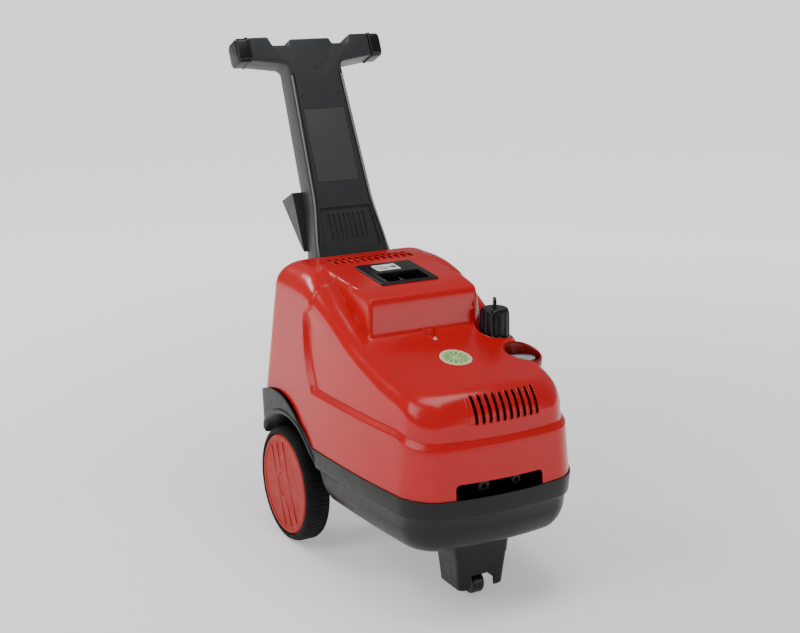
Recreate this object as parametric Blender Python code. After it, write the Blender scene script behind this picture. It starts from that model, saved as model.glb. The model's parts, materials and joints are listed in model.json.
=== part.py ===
"""Electric cold-water high-pressure washer on two wheels and a front caster.

Metres, +Z up. The nose faces -Y, the handle is at the rear (+Y) and X runs across the machine.
"""

import math

import bmesh
import bpy
import numpy as np
from mathutils import Matrix, Vector

GAP = 0.0003  # clearance between pieces that touch
RUN = 0.0010  # running clearance of pieces that move

# Overall plan of the cover
COVER_HALF = 0.213
COVER_REAR = 0.250

# Wheels and axle; the axle's height is fixed to the body, and the ground lies one wheel radius below it
WHEEL_RADIUS = 0.125
WHEEL_WIDTH = 0.064
WHEEL_STAND_OUT = 0.0075  # of a wheel's outer face beyond the cover
TRACK_HALF = COVER_HALF + WHEEL_STAND_OUT
TYRE_DEPTH = 0.025
RIM_RADIUS = WHEEL_RADIUS - TYRE_DEPTH
CAP_RADIUS = RIM_RADIUS + 0.0085
AXLE_RADIUS = 0.008
SADDLE_X = 0.115
SADDLE_HALF = 0.015
AXLE_Y = 0.1035
AXLE_Z = 0.125
GROUND_Z = AXLE_Z - WHEEL_RADIUS
ARCH_SPACE = 0.031  # between tyre and arch
ARCH_Y = AXLE_Y - 0.0235
ARCH_Z = AXLE_Z + 0.005
ARCH_RADIUS = WHEEL_RADIUS + ARCH_SPACE
ARCH_CLEARANCE = 0.0065  # between a wheel's inner face and the wall of its arch
WHEEL_SEGMENTS = 32

# Cover: plan outline, levels and wall
COVER_NOSE = -0.441
REAR_CORNER = 0.045
NOSE_CORNER = 0.060
TAPER = 0.155  # share of the half width lost at the nose
BOW = 0.026  # how far the corners of the nose sit behind its centre
REAR_BOW = 0.010
DRAFT = 0.095  # inward lean of the walls per metre of height
WALL = 0.0035
SEAM_Z = 0.250
# y, z and radius of the seam's hump over the wheel
SEAM_ARCH = (ARCH_Y + 0.059, ARCH_Z + 0.012, ARCH_RADIUS + 0.0264)
ROOF_Z = 0.595
LEDGE_FRONT_Z = 0.345
LEDGE_SIDE_Z = 0.358
LEDGE_RISE = 0.013
LEDGE_DEPTH = 0.009
LEDGE_SLOPE = 0.006  # half of the run of the upright ledge's face
LEDGE_TURN = (-0.015, 0.042)  # y where the ledge leaves the side and where it stands upright
REAR_SHOULDER = 0.058
SIDE_SHOULDER = 0.030
NOSE_SHOULDER = 0.062
NOSE_CROWN = 0.018
# Centre line of the bonnet, as (y, z) from the roof to the nose
BONNET_LINE = ((0.300, ROOF_Z), (0.075, ROOF_Z), (0.045, 0.587), (-0.130, 0.498), (-0.170, 0.484),
               (-0.256, 0.463), (-0.350, 0.448), (COVER_NOSE, 0.430))

# Deck on the bonnet: plan half widths, and its side line as (y, z) from the roof to the foot of the step
DECK_STEP_HALF = 0.121
DECK_ROOF_HALF = 0.128
DECK_FLARE = 0.012
DECK_CORNER = 0.012
DECK_ROOF = (0.080, 0.5945)
DECK_BEND = (-0.085, 0.5785)
DECK_STEP = (-0.127, 0.567)
DECK_FOOT = (-0.150, 0.462)
DECK_TILT = math.atan2(DECK_ROOF[1] - DECK_BEND[1], DECK_ROOF[0] - DECK_BEND[0])

# Openings in the cover
MOUTH_LEFT = -0.104
MOUTH_RIGHT = 0.085
MOUTH_TOP = 0.279
NOSE_SLOTS = 10
NOSE_SLOT_PITCH = 0.0150
NOSE_SLOT_WIDTH = 0.0062
NOSE_SLOT_CENTRE = 0.0155
NOSE_SLOT_Z = (0.388, 0.4325)
ROOF_SLOTS = 12
ROOF_SLOT_PITCH = 0.0160
ROOF_SLOT_WIDTH = 0.0070
ROOF_SLOT_Y = (0.083, 0.134)

# Pressure knob and gauge
KNOB_X, KNOB_Y = COVER_HALF - 0.069, -0.163
KNOB_RADIUS = 0.032
KNOB_BASE_Z = 0.468
KNOB_HEIGHT = 0.060
KNOB_FLUTES = 12
FIN_HEIGHT = 0.021
POCKET_SPACE = 0.008  # round the knob
KNOB_POCKET = KNOB_RADIUS + POCKET_SPACE
GAUGE_X, GAUGE_Y = COVER_HALF - 0.061, -0.255
GAUGE_TOP_Z = 0.445
GAUGE_RADIUS = 0.0255
GAUGE_RIM = 0.004
GAUGE_POCKET = GAUGE_RADIUS + GAUGE_RIM + 0.0055
GAUGE_POD = GAUGE_POCKET + 0.005

# Switch panel on the deck
PANEL_HALF = 0.066
PANEL_FRONT = -0.074
PANEL_REAR = 0.056
PANEL_THICK = 0.003

SWITCH_POCKET = (-0.056, -0.002)  # front and rear of the well, from the panel's middle
SWITCH_DEPTH = 0.024

# Round label on the bonnet
LABEL_Y = -0.252
LABEL_RADIUS = 0.032

# Base tub
BASE_LIP = 0.003  # how far the base's rim stands out from the cover
BASE_BOTTOM = 0.1335
BASE_WALL = 0.004
BASE_STEP_Z = 0.210

# Front foot and caster
FOOT_FRONT = -0.355
FOOT_REAR = -0.275
FOOT_HALF_TOP = 0.064
FOOT_HALF_BOTTOM = 0.050
FOOT_BOTTOM = GROUND_Z + 0.022
FOOT_WALL = 0.004
CASTER_Y = -0.315
CASTER_TRAIL = 0.008
CASTER_RADIUS = 0.022
CASTER_WIDTH = 0.026
FORK_PLATE = 0.0025
FOOT_WEB_Z = GROUND_Z + 2 * CASTER_RADIUS + 0.016  # underside of the plate that the caster's stem turns in
STEM_RADIUS = 0.006

# Handle, in its own plane: x across, s up the handle, d towards the front
HANDLE_Y = 0.183
HANDLE_Z = 0.593
HANDLE_LEAN = math.radians(24.9)
HANDLE_DEPTH = 0.054
HANDLE_WALL = 0.004
HANDLE_SPLIT = 0.026
COLUMN_FOOT_HALF = 0.089
COLUMN_MID_HALF = 0.073
COLUMN_TOP_HALF = 0.064
GRIP_HALF = 0.176
GRIP_LOW = 0.450
GRIP_HIGH = 0.502
GRIP_CAP = 0.030
COLUMN_SEAT_Z = 0.552

POST_Y = (0.168, 0.211)
POST_HALF = 0.070
POST_WALL = 0.006
LABEL_HALF = 0.050
LABEL_S = (0.164, 0.332)
GROOVES = 8
GROOVE_PITCH = 0.0118
HOLDER_HALF = 0.092
SHELF_Z = 0.220
GLAND_X, GLAND_Z = 0.110, 0.250
GLAND_RADIUS = 0.011

# Motor and pump, on an axis along Y
CRADLE_Z = 0.150
DRIVE_Z = 0.300
MOTOR_RADIUS = 0.080
MOTOR_FRONT = -0.045
MOTOR_REAR = 0.115
SHAFT_RADIUS = 0.010
PUMP_HALF = 0.055
PUMP_LENGTH = 0.085
HEAD_LENGTH = 0.055
PLUNGER_RADIUS = 0.007
PLUNGER_CIRCLE = 0.026
PLUNGER_REACH = 0.024  # how far a drawn-back plunger still sits in the pump's head
PLUNGER_BORE = 0.036
SWASH_REAR = MOTOR_FRONT - 0.020
SWASH_THICK = 0.014
SWASH_RADIUS = 0.038
SWASH_SLOPE = 0.12

SPINDLE_RADIUS = 0.006
UNLOADER_TOP = 0.368
FIN_ANGLE = math.radians(-27.0)
PLATE_Y = -0.372
COUPLING_X = 0.036
COUPLING_Z = 0.262

COLOURS = {
    "red_plastic": ((0.64, 0.017, 0.010), 0.22, 0.0),
    "base_plastic": ((0.040, 0.044, 0.040), 0.45, 0.0),
    "handle_plastic": ((0.045, 0.050, 0.055), 0.38, 0.0),
    "insert_plastic": ((0.075, 0.078, 0.080), 0.55, 0.0),
    "black_plastic": ((0.012, 0.012, 0.013), 0.35, 0.0),
    "tyre_rubber": ((0.018, 0.018, 0.019), 0.75, 0.0),
    "wheel_red": ((0.50, 0.060, 0.040), 0.50, 0.0),
    "steel": ((0.55, 0.56, 0.58), 0.30, 1.0),
    "brass": ((0.72, 0.52, 0.22), 0.30, 1.0),
    "cast_aluminium": ((0.50, 0.51, 0.52), 0.50, 1.0),
    "motor_paint": ((0.10, 0.11, 0.13), 0.45, 0.0),
    "clear_lens": ((0.80, 0.84, 0.84), 0.08, 0.0),
    "dial_white": ((0.85, 0.85, 0.82), 0.50, 0.0),
    "label_green": ((0.62, 0.80, 0.50), 0.40, 0.0),
    "hose_rubber": ((0.020, 0.020, 0.022), 0.60, 0.0),
}


# ---------------------------------------------------------------- helpers

def clear_scene():
    for thing in list(bpy.data.objects):
        bpy.data.objects.remove(thing, do_unlink=True)


def material(name):
    found = bpy.data.materials.get(name)
    if found:
        return found
    colour, roughness, metallic = COLOURS[name]
    made = bpy.data.materials.new(name)
    made.use_nodes = True
    shader = made.node_tree.nodes["Principled BSDF"]
    shader.inputs["Base Color"].default_value = (*colour, 1.0)
    shader.inputs["Roughness"].default_value = roughness
    shader.inputs["Metallic"].default_value = metallic
    made.diffuse_color = (*colour, 1.0)
    return made


def solid(name, verts, faces, finish, location=(0, 0, 0), parent=None, smooth=35):
    """One closed body, its faces turned outwards."""
    mesh = bpy.data.meshes.new(name)
    mesh.from_pydata([tuple(v) for v in verts], [], faces)
    work = bmesh.new()
    work.from_mesh(mesh)
    bmesh.ops.remove_doubles(work, verts=work.verts, dist=1e-6)
    bmesh.ops.recalc_face_normals(work, faces=work.faces)
    work.to_mesh(mesh)
    work.free()
    mesh.materials.append(material(finish))
    mesh.shade_smooth()
    mesh.set_sharp_from_angle(angle=math.radians(smooth))
    made = bpy.data.objects.new(name, mesh)
    made.location = location
    made.parent = parent
    bpy.context.collection.objects.link(made)
    return made


def boolean(target, tool, operation):
    """Joins or cuts target with tool, keeps the result as target's mesh and removes the tool."""
    step = target.modifiers.new(operation.lower(), "BOOLEAN")
    step.operation = operation
    step.object = tool
    bpy.context.view_layer.update()
    result = bpy.data.meshes.new_from_object(target.evaluated_get(bpy.context.evaluated_depsgraph_get()))
    target.modifiers.remove(step)
    result.name = target.data.name
    target.data = result
    bpy.data.objects.remove(tool, do_unlink=True)
    target.data.shade_smooth()
    target.data.set_sharp_from_angle(angle=math.radians(35))
    return target


def cut(target, tool):
    return boolean(target, tool, "DIFFERENCE")


def join(target, tool):
    return boolean(target, tool, "UNION")


def box(name, low, high, finish="black_plastic", **place):
    (x0, y0, z0), (x1, y1, z1) = low, high
    verts = [(x, y, z) for z in (z0, z1) for x, y in ((x0, y0), (x1, y0), (x1, y1), (x0, y1))]
    faces = [(0, 1, 2, 3), (4, 5, 6, 7), (0, 1, 5, 4), (1, 2, 6, 5), (2, 3, 7, 6), (3, 0, 4, 7)]
    return solid(name, verts, faces, finish, **place)


def loft(name, rings, finish, closed=False, **place):
    """Skins rings with the same number of points; flat ends unless the rings form a closed band."""
    count = len(rings[0])
    verts = [point for ring in rings for point in ring]
    faces = []
    for row in range(len(rings) if closed else len(rings) - 1):
        here, there = row * count, (row + 1) % len(rings) * count
        for k in range(count):
            after = (k + 1) % count
            faces.append((here + k, here + after, there + after, there + k))
    if not closed:
        faces.append(tuple(range(count)))
        faces.append(tuple(range((len(rings) - 1) * count, len(rings) * count)))
    return solid(name, verts, faces, finish, **place)


def lathe(name, profile, finish, axis="Z", segments=20, **place):
    """Turns (radius, height) points about an axis; a profile that stays off the axis makes a ring."""
    on_axis = profile[0][0] < 1e-9
    verts, rows = [], []
    for radius, height in profile:
        turns = 1 if radius < 1e-9 else segments
        rows.append(range(len(verts), len(verts) + turns))
        for k in range(turns):
            angle = 2 * math.pi * k / segments
            verts.append((radius * math.cos(angle), radius * math.sin(angle), height))
    faces = []
    for index in range(len(rows) if not on_axis else len(rows) - 1):
        a, b = rows[index], rows[(index + 1) % len(rows)]
        for k in range(segments):
            after = (k + 1) % segments
            corners = (a[k % len(a)], a[after % len(a)], b[after % len(b)], b[k % len(b)])
            faces.append(tuple(dict.fromkeys(corners)))
    turn = {"X": lambda p: (p[2], p[0], p[1]), "Y": lambda p: (p[1], p[2], p[0]), "Z": lambda p: p}[axis]
    return solid(name, [turn(p) for p in verts], [f for f in faces if len(f) > 2], finish, **place)


def cylinder(name, radius, low, high, finish="black_plastic", axis="Z", segments=20, **place):
    circle = arc_points((0, 0), radius, 0, 2 * math.pi, segments)[:-1]
    order = {"X": lambda u, v, h: (h, u, v), "Y": lambda u, v, h: (v, h, u), "Z": lambda u, v, h: (u, v, h)}[axis]
    return loft(name, [[order(u, v, height) for u, v in circle] for height in (low, high)], finish, **place)


def arc_points(centre, radius, start, end, steps):
    angles = np.linspace(start, end, steps + 1)
    return [(centre[0] + radius * math.cos(a), centre[1] + radius * math.sin(a)) for a in angles]


def rounded_polygon(corners, steps=3):
    """Closed outline through (x, y, radius) corners, each turned by an arc."""
    points = []
    for k, (x, y, radius) in enumerate(corners):
        here = Vector((x, y))
        back = (Vector(corners[k - 1][:2]) - here).normalized()
        ahead = (Vector(corners[(k + 1) % len(corners)][:2]) - here).normalized()
        if radius <= 0:
            points.append((x, y))
            continue
        half = back.angle(ahead) / 2
        centre = here + (back + ahead).normalized() * (radius / math.sin(half))
        start = here + back * (radius / math.tan(half)) - centre
        end = here + ahead * (radius / math.tan(half)) - centre
        sweep = start.angle_signed(end)
        for step in range(steps + 1):
            turned = Matrix.Rotation(-sweep * step / steps, 2) @ start
            points.append(tuple(centre + turned))
    return points


def rounded_box_outline(x0, x1, y0, y1, radius, steps=3):
    return rounded_polygon(((x0, y0, radius), (x1, y0, radius), (x1, y1, radius), (x0, y1, radius)), steps)


def prism(name, outline, low, high, finish="black_plastic", shrink=0.0, **place):
    """Extrudes an outline along Z; shrink narrows the top about the outline's middle."""
    middle = np.mean(np.array(outline), axis=0)
    rings = []
    for level, scale in ((low, 1.0), (high, 1.0 - shrink)):
        rings.append([(middle[0] + (x - middle[0]) * scale, middle[1] + (y - middle[1]) * scale, level)
                      for x, y in outline])
    return loft(name, rings, finish, **place)


def tube(name, points, radius, finish, sides=8, **place):
    """Round hose through points, with filled ends."""
    path = [Vector(p) for p in points]
    rings = []
    side = None
    for k, point in enumerate(path):
        along = (path[min(k + 1, len(path) - 1)] - path[max(k - 1, 0)]).normalized()
        if side is None:
            side = along.orthogonal().normalized()
        side = (side - along * side.dot(along)).normalized()
        other = along.cross(side)
        rings.append([point + radius * (math.cos(a) * side + math.sin(a) * other)
                      for a in np.linspace(0, 2 * math.pi, sides, endpoint=False)])
    return loft(name, rings, finish, **place)


def curve(points, steps=3):
    """Smooth run through hand-placed points (Catmull-Rom)."""
    path = [Vector(points[0])] + [Vector(p) for p in points] + [Vector(points[-1])]
    run = []
    for k in range(1, len(path) - 2):
        a, b, c, d = path[k - 1:k + 3]
        for step in range(steps):
            t = step / steps
            run.append(0.5 * (2 * b + (c - a) * t + (2 * a - 5 * b + 4 * c - d) * t ** 2
                              + (3 * b - a - 3 * c + d) * t ** 3))
    return run + [path[-1]]


def route_between(start, start_way, end, end_way, middle=()):
    """Hose route that leaves start along start_way and reaches end against end_way, both for a short straight."""
    first, last = Vector(start), Vector(end)
    ahead, back = Vector(start_way), Vector(end_way)
    stubs = (0.0, 0.006, 0.014)
    return curve([first + ahead * d for d in stubs] + [Vector(p) for p in middle]
                 + [last + back * d for d in reversed(stubs)])


def empty(name, location, rotation=(0, 0, 0), parent=None):
    made = bpy.data.objects.new(name, None)
    made.location = location
    made.rotation_euler = rotation
    made.parent = parent
    bpy.context.collection.objects.link(made)
    return made


def blend(value, low, high):
    """0 below low, 1 above high and a smooth rise between them."""
    t = min(max((value - low) / (high - low), 0.0), 1.0)
    return t * t * (3 - 2 * t)


# ---------------------------------------------------------------- cover surfaces

def seam_height(y):
    """Lower edge of the cover: level along the side, humped over the wheel."""
    centre_y, centre_z, radius = SEAM_ARCH
    hump = centre_z + math.sqrt(max(radius ** 2 - (y - centre_y) ** 2, 0.0)) - SEAM_Z
    return SEAM_Z + (hump + math.hypot(hump, 0.020)) / 2 - 0.0009


def ledge_height(y):
    return LEDGE_FRONT_Z + (LEDGE_SIDE_Z - LEDGE_FRONT_Z) * blend(y, -0.41, -0.33)


def bonnet_height(y):
    ys, zs = zip(*reversed(BONNET_LINE))
    return float(np.mean([np.interp(y + shift, ys, zs) for shift in np.linspace(-0.022, 0.022, 7)]))


def top_height(x, y):
    crown = NOSE_CROWN * blend(-y, 0.12, 0.40)
    return bonnet_height(y) - crown * (x / 0.17) ** 2


def shoulder_radius(y):
    rear = SIDE_SHOULDER + (REAR_SHOULDER - SIDE_SHOULDER) * blend(y, -0.06, 0.10)
    return rear + (NOSE_SHOULDER - SIDE_SHOULDER) * blend(-y, 0.33, 0.42)


def plan_point(x, y, half, nose):
    """Bends a straight-sided outline point into the tapered, bowed plan."""
    forward = max(0.03 - y, 0.0) / (0.03 - nose)
    bow = BOW * blend(-y, 0.20, -nose) - REAR_BOW * blend(y, 0.10, COVER_REAR)
    return x * (1 - TAPER * forward ** 2), y + bow * (x / half) ** 2


def half_outline(inset, turn_y=LEDGE_TURN[0]):
    """Right half of a plan outline from the rear centre to the nose centre, with points beside turn_y."""
    half, rear, nose = COVER_HALF - inset, COVER_REAR - inset, COVER_NOSE + inset
    rear_r = max(REAR_CORNER - 0.35 * inset, 0.018)
    nose_r = max(NOSE_CORNER - 0.35 * inset, 0.018)
    straight = [(half * t, rear) for t in (0.0, 0.28, 0.55)]
    straight += arc_points((half - rear_r, rear - rear_r), rear_r, math.pi / 2, 0, 4)
    straight += [(half, y) for y in np.linspace(rear - rear_r, turn_y + LEDGE_SLOPE, 5)[1:]]
    straight += [(half, y) for y in np.linspace(turn_y - LEDGE_SLOPE, nose + nose_r, 7)[:-1]]
    straight += arc_points((half - nose_r, nose + nose_r), nose_r, 0, -math.pi / 2, 4)
    straight += [(half * t, nose) for t in (0.50, 0.25, 0.0)]
    return [plan_point(x, y, COVER_HALF, COVER_NOSE) for x, y in straight]


OUTLINE_COUNT = len(half_outline(0.0))
FIRST_BONNET_POINT = 12  # points from here on lie in front of the upright ledge


def ledge_turn_y(share):
    """Where the upright part of the ledge crosses a wall ring, from the side ledge (0) to the shoulder (1)."""
    low, high = LEDGE_TURN
    return low + (high - low) * (1 - (1 - share) ** 2.2) - 0.02 * blend(share, 0.85, 1.0)


def full_ring(right):
    """Closes a right half into a whole ring; its first and last points lie on the centre line."""
    return right + [(-x, y, z) for x, y, z in reversed(right[1:-1])]


def low_ring(height, wall):
    """Ring of the skirt, below the ledge."""
    points = []
    for k, (_, y) in enumerate(half_outline(wall)):
        z = height(y)
        points.append((*half_outline(wall + DRAFT * max(z - SEAM_Z, 0))[k], z))
    return full_ring(points)


def wall_level(k, share, wall):
    """Inset and height of a wall point: share 0 is the ledge's upper edge and 1 the start of the shoulder."""
    x, y = half_outline(wall, ledge_turn_y(share))[k]
    low = max(ledge_height(y), seam_height(y) + 0.03) + LEDGE_RISE
    high = top_height(x, y) - wall - shoulder_radius(y)
    z = low + share * (high - low)
    fade = 1 - 0.6 * blend(share, 0.7, 1.0) * blend(y, -0.10, 0.05)
    ledge = LEDGE_DEPTH * fade if k >= FIRST_BONNET_POINT else 0.0
    return wall + DRAFT * (z - SEAM_Z) + ledge, z


def wall_ring(share, wall):
    points = []
    for k in range(OUTLINE_COUNT):
        inset, z = wall_level(k, share, wall)
        points.append((*half_outline(inset, ledge_turn_y(share))[k], z))
    return full_ring(points)


def shoulder_ring(angle, wall):
    """Ring on the rounding between wall and top, angle 90 degrees being its upper edge."""
    turn = ledge_turn_y(1.0)
    points = []
    for k, (_, start_y) in enumerate(half_outline(wall, turn)):
        radius = max(shoulder_radius(start_y) - wall, 0.012)
        inset = wall_level(k, 1.0, wall)[0] + radius * (1 - math.cos(angle))
        x, y = half_outline(inset, turn)[k]
        points.append((x, y, top_height(x, y) - wall - radius * (1 - math.sin(angle))))
    return full_ring(points)


def rows_across(ring, height, columns=4):
    """Points and faces that close a ring with rows from its right side to its left."""
    count = len(ring)
    half = count // 2
    extra, faces = [], []
    rows = [[0]]
    for k in range(1, half):
        right, left = ring[k], ring[count - k]
        row = [k]
        for c in range(1, columns):
            t = c / columns
            x = right[0] + (left[0] - right[0]) * t
            y = right[1] + (left[1] - right[1]) * t
            extra.append((x, y, height(x, y)))
            row.append(count + len(extra) - 1)
        row.append(count - k)
        rows.append(row)
    rows.append([half])
    for a, b in zip(rows, rows[1:]):
        for c in range(columns):
            corners = (a[min(c, len(a) - 1)], a[min(c + 1, len(a) - 1)],
                       b[min(c + 1, len(b) - 1)], b[min(c, len(b) - 1)])
            face = tuple(dict.fromkeys(corners))
            if len(face) > 2:
                faces.append(face)
    return extra, faces


def cover_body(name, wall, drop):
    """Closed body inside the cover's skin moved in by wall; drop lowers its open edge."""
    rings = [low_ring(lambda y: seam_height(y) - drop, wall),
             low_ring(lambda y: max(ledge_height(y), seam_height(y) + 0.03), wall)]
    rings += [wall_ring(share, wall) for share in (0.0, 0.35, 0.7, 1.0)]
    rings += [shoulder_ring(math.radians(a), wall) for a in (30, 60, 90)]
    count = len(rings[0])
    verts = [p for ring in rings for p in ring]
    faces = []
    for row in range(len(rings) - 1):
        for k in range(count):
            after = (k + 1) % count
            faces.append((row * count + k, row * count + after,
                          (row + 1) * count + after, (row + 1) * count + k))
    lid, lid_faces = rows_across(rings[-1], lambda x, y: top_height(x, y) - wall)
    floor, floor_faces = rows_across(rings[0], lambda x, y: seam_height(y) - drop, columns=2)
    faces += shifted(lid_faces, count, (len(rings) - 1) * count, len(verts))
    verts += lid
    faces += shifted(floor_faces, count, 0, len(verts))
    verts += floor
    return solid(name, verts, faces, "red_plastic")


def shifted(faces, count, ring_start, extra_start):
    def place(index):
        return ring_start + index if index < count else extra_start + index - count
    return [tuple(place(i) for i in face) for face in faces]


def deck_body(name, wall):
    """Raised wedge on the bonnet, from the roof to the step."""
    side_line = [(y + wall / 2, z - wall) for y, z in (DECK_ROOF, DECK_BEND)]
    side_line += [(y + wall, z - wall * keep) for (y, z), keep in ((DECK_STEP, 1), (DECK_FOOT, 0))]
    side_line += [(-0.020, 0.530), (DECK_ROOF[0] + wall / 2, 0.560)]
    sections = [[(x, y, z) for y, z in side_line] for x in (-0.25, 0.25)]
    body = loft(name, sections, "red_plastic")
    plans = []
    for level, flare in ((0.45, DECK_FLARE), (0.62, -DECK_FLARE / 2)):
        step, roof = DECK_STEP_HALF + flare - wall, DECK_ROOF_HALF + flare - wall
        corners = ((-step, DECK_STEP[0] - 0.05, 0), (step, DECK_STEP[0] - 0.05, 0),
                   (roof, DECK_ROOF[0] + 0.02, 0), (-roof, DECK_ROOF[0] + 0.02, 0))
        plans.append([(x, y, level) for x, y in rounded_polygon(corners)])
    return boolean(body, loft("deck_plan", plans, "red_plastic"), "INTERSECT")


def pod_body(name, wall):
    """Round swelling that carries the gauge at the right shoulder."""
    top = top_height(GAUGE_X, GAUGE_Y) - wall
    profile = ((0, top - 0.075), (GAUGE_POD * 0.62, top - 0.070), (GAUGE_POD - wall, top - 0.028),
               (GAUGE_POD - wall, top - 0.001), (GAUGE_POD - 0.005 - wall, top + 0.0035), (0, top + 0.0035))
    body = lathe(name, profile, "red_plastic", segments=20, location=(GAUGE_X, GAUGE_Y, 0))
    return body


def cover():
    shell = cover_body("cover", 0.0, 0.0)
    join(shell, deck_body("deck", 0.0))
    join(shell, pod_body("pod", 0.0))
    inner = cover_body("cover_inside", WALL, 0.012)
    join(inner, deck_body("deck_inside", WALL))
    join(inner, pod_body("pod_inside", WALL))
    pockets = ((KNOB_X, KNOB_Y, KNOB_POCKET, KNOB_BASE_Z - 0.006),
               (GAUGE_X, GAUGE_Y, GAUGE_POCKET, GAUGE_TOP_Z - 0.010))
    for x, y, radius, floor in pockets:
        place = (x, y, 0)
        cut(inner, cylinder("pocket_wall", radius + WALL, floor - WALL, 0.7, location=place))
        cut(shell, cylinder("pocket", radius, floor, 0.7, location=place))
    cut(shell, inner)
    cut(shell, cylinder("knob_hole", 0.012, 0.40, 0.48, location=(KNOB_X, KNOB_Y, 0)))
    cut(shell, cylinder("gauge_hole", GAUGE_RADIUS + RUN, 0.36, 0.46, location=(GAUGE_X, GAUGE_Y, 0)))
    cut(shell, box("mouth", (MOUTH_LEFT, -0.50, 0.20), (MOUTH_RIGHT, -0.36, MOUTH_TOP)))
    for k in range(NOSE_SLOTS):
        x = NOSE_SLOT_CENTRE + (k - (NOSE_SLOTS - 1) / 2) * NOSE_SLOT_PITCH
        half = NOSE_SLOT_WIDTH / 2
        cut(shell, box("slot", (x - half, -0.47, NOSE_SLOT_Z[0]), (x + half, -0.36, NOSE_SLOT_Z[1])))
    for k in range(ROOF_SLOTS):
        x = (k - (ROOF_SLOTS - 1) / 2) * ROOF_SLOT_PITCH
        half = ROOF_SLOT_WIDTH / 2
        cut(shell, box("slot", (x - half, ROOF_SLOT_Y[0], 0.57), (x + half, ROOF_SLOT_Y[1], 0.62)))
    hole = PANEL_HALF - 0.006
    cut(shell, box("panel_hole", (-hole, PANEL_FRONT + 0.006, 0.53), (hole, PANEL_REAR - 0.006, 0.62)))
    side = COLUMN_FOOT_HALF + 0.004
    cut(shell, box("column_notch", (-side, HANDLE_Y - 0.014, COLUMN_SEAT_Z - 0.012), (side, 0.30, 0.70)))
    return shell


# ---------------------------------------------------------------- base, foot and wheels

def base_ring(height, inset):
    return full_ring([(x, y, height(y)) for x, y in half_outline(inset - BASE_LIP)])


def base_body(name, wall, top_shift):
    """Closed body inside the tub's skin moved in by wall."""
    bottom = BASE_BOTTOM + wall
    levels = ((lambda y: seam_height(y) + top_shift, 0.0), (lambda y: BASE_STEP_Z, 0.003),
              (lambda y: BASE_STEP_Z - 0.005, 0.010), (lambda y: 0.165, 0.024),
              (lambda y: BASE_BOTTOM + 0.010 + wall / 2, 0.042), (lambda y: bottom, 0.056))
    rings = [base_ring(height, inset + wall) for height, inset in levels]
    count = len(rings[0])
    verts = [p for ring in rings for p in ring]
    faces = []
    for row in range(len(rings) - 1):
        for k in range(count):
            after = (k + 1) % count
            faces.append((row * count + k, row * count + after,
                          (row + 1) * count + after, (row + 1) * count + k))
    faces.append(tuple(range((len(rings) - 1) * count, len(rings) * count)))
    lid, lid_faces = rows_across(rings[0], lambda x, y: seam_height(y) + top_shift, columns=2)
    faces += shifted(lid_faces, count, 0, len(verts))
    return solid(name, verts + lid, faces, "base_plastic")


def base():
    tub = base_body("base_tub", 0.0, -GAP)
    inside = base_body("base_inside", BASE_WALL, 0.02)
    wall_x = TRACK_HALF - WHEEL_WIDTH - ARCH_CLEARANCE
    centre = (0, ARCH_Y, ARCH_Z)
    for side in (-1, 1):
        reach = sorted((side * (wall_x - BASE_WALL), side * 0.30))
        cut(inside, cylinder("arch_wall", ARCH_RADIUS + BASE_WALL, *reach, axis="X", segments=32, location=centre))
    cut(tub, inside)
    for side in (-1, 1):
        reach = sorted((side * wall_x, side * 0.30))
        cut(tub, cylinder("arch", ARCH_RADIUS, *reach, axis="X", segments=32, location=centre))
        cut(tub, box("tail", (reach[0], ARCH_Y, 0.10), (reach[1], 0.30, BASE_STEP_Z + 0.002)))
    join(tub, box("shelf", (-0.080, 0.160, SHELF_Z - 0.008), (0.080, 0.2475, SHELF_Z)))
    cut(tub, cylinder("cable_hole", GLAND_RADIUS + GAP, 0.20, 0.30, axis="Y", location=(GLAND_X, 0, GLAND_Z)))
    return tub


def wheel(side, label):
    """Tyre, rim and cap of one wheel; heights run outwards from the wheel's inner face."""
    origin = (side * (TRACK_HALF - WHEEL_WIDTH), AXLE_Y, AXLE_Z)
    r, w = WHEEL_RADIUS, WHEEL_WIDTH
    tyre = ((RIM_RADIUS, 0.003), (r - 0.006, 0.003), (r, 0.012), (r, w - 0.012), (r - 0.006, w - 0.002),
            (CAP_RADIUS + GAP, w - 0.002), (CAP_RADIUS + GAP, w - 0.014), (RIM_RADIUS, w - 0.014))
    bore, hub, web = AXLE_RADIUS + 0.0005, 0.028, RIM_RADIUS - GAP
    rim = ((bore, 0.0), (hub, 0.0), (hub, 0.020), (web, 0.012), (web, w - 0.016), (web - 0.006, w - 0.016),
           (web - 0.010, 0.026), (hub, 0.026), (hub, w - 0.016), (bore, w - 0.016))
    cap = ((0, w - 0.0137), (CAP_RADIUS, w - 0.0137), (CAP_RADIUS, w - 0.004), (CAP_RADIUS - 0.006, w - 0.001),
           (0.030, w - 0.001), (0.026, w), (0, w))
    for name, profile, finish in (("tyre", tyre, "tyre_rubber"), ("rim", rim, "black_plastic"),
                                  ("hubcap", cap, "wheel_red")):
        outward = [(radius, side * height) for radius, height in profile]
        lathe(f"{name}_{label}", outward, finish, "X", WHEEL_SEGMENTS, location=origin)


def axle():
    reach = TRACK_HALF - 0.017
    cylinder("axle", AXLE_RADIUS, -reach, reach, "steel", "X", 16, location=(0, AXLE_Y, AXLE_Z))
    for side, label in ((-1, "left"), (1, "right")):
        x = side * SADDLE_X
        saddle = box(f"axle_saddle_{label}", (x - SADDLE_HALF, AXLE_Y - 0.024, AXLE_Z - 0.018),
                     (x + SADDLE_HALF, AXLE_Y + 0.024, BASE_BOTTOM - GAP), "base_plastic")
        cut(saddle, cylinder("bore", AXLE_RADIUS + GAP, x - 0.02, x + 0.02, axis="X", segments=16,
                             location=(0, AXLE_Y, AXLE_Z)))


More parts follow.
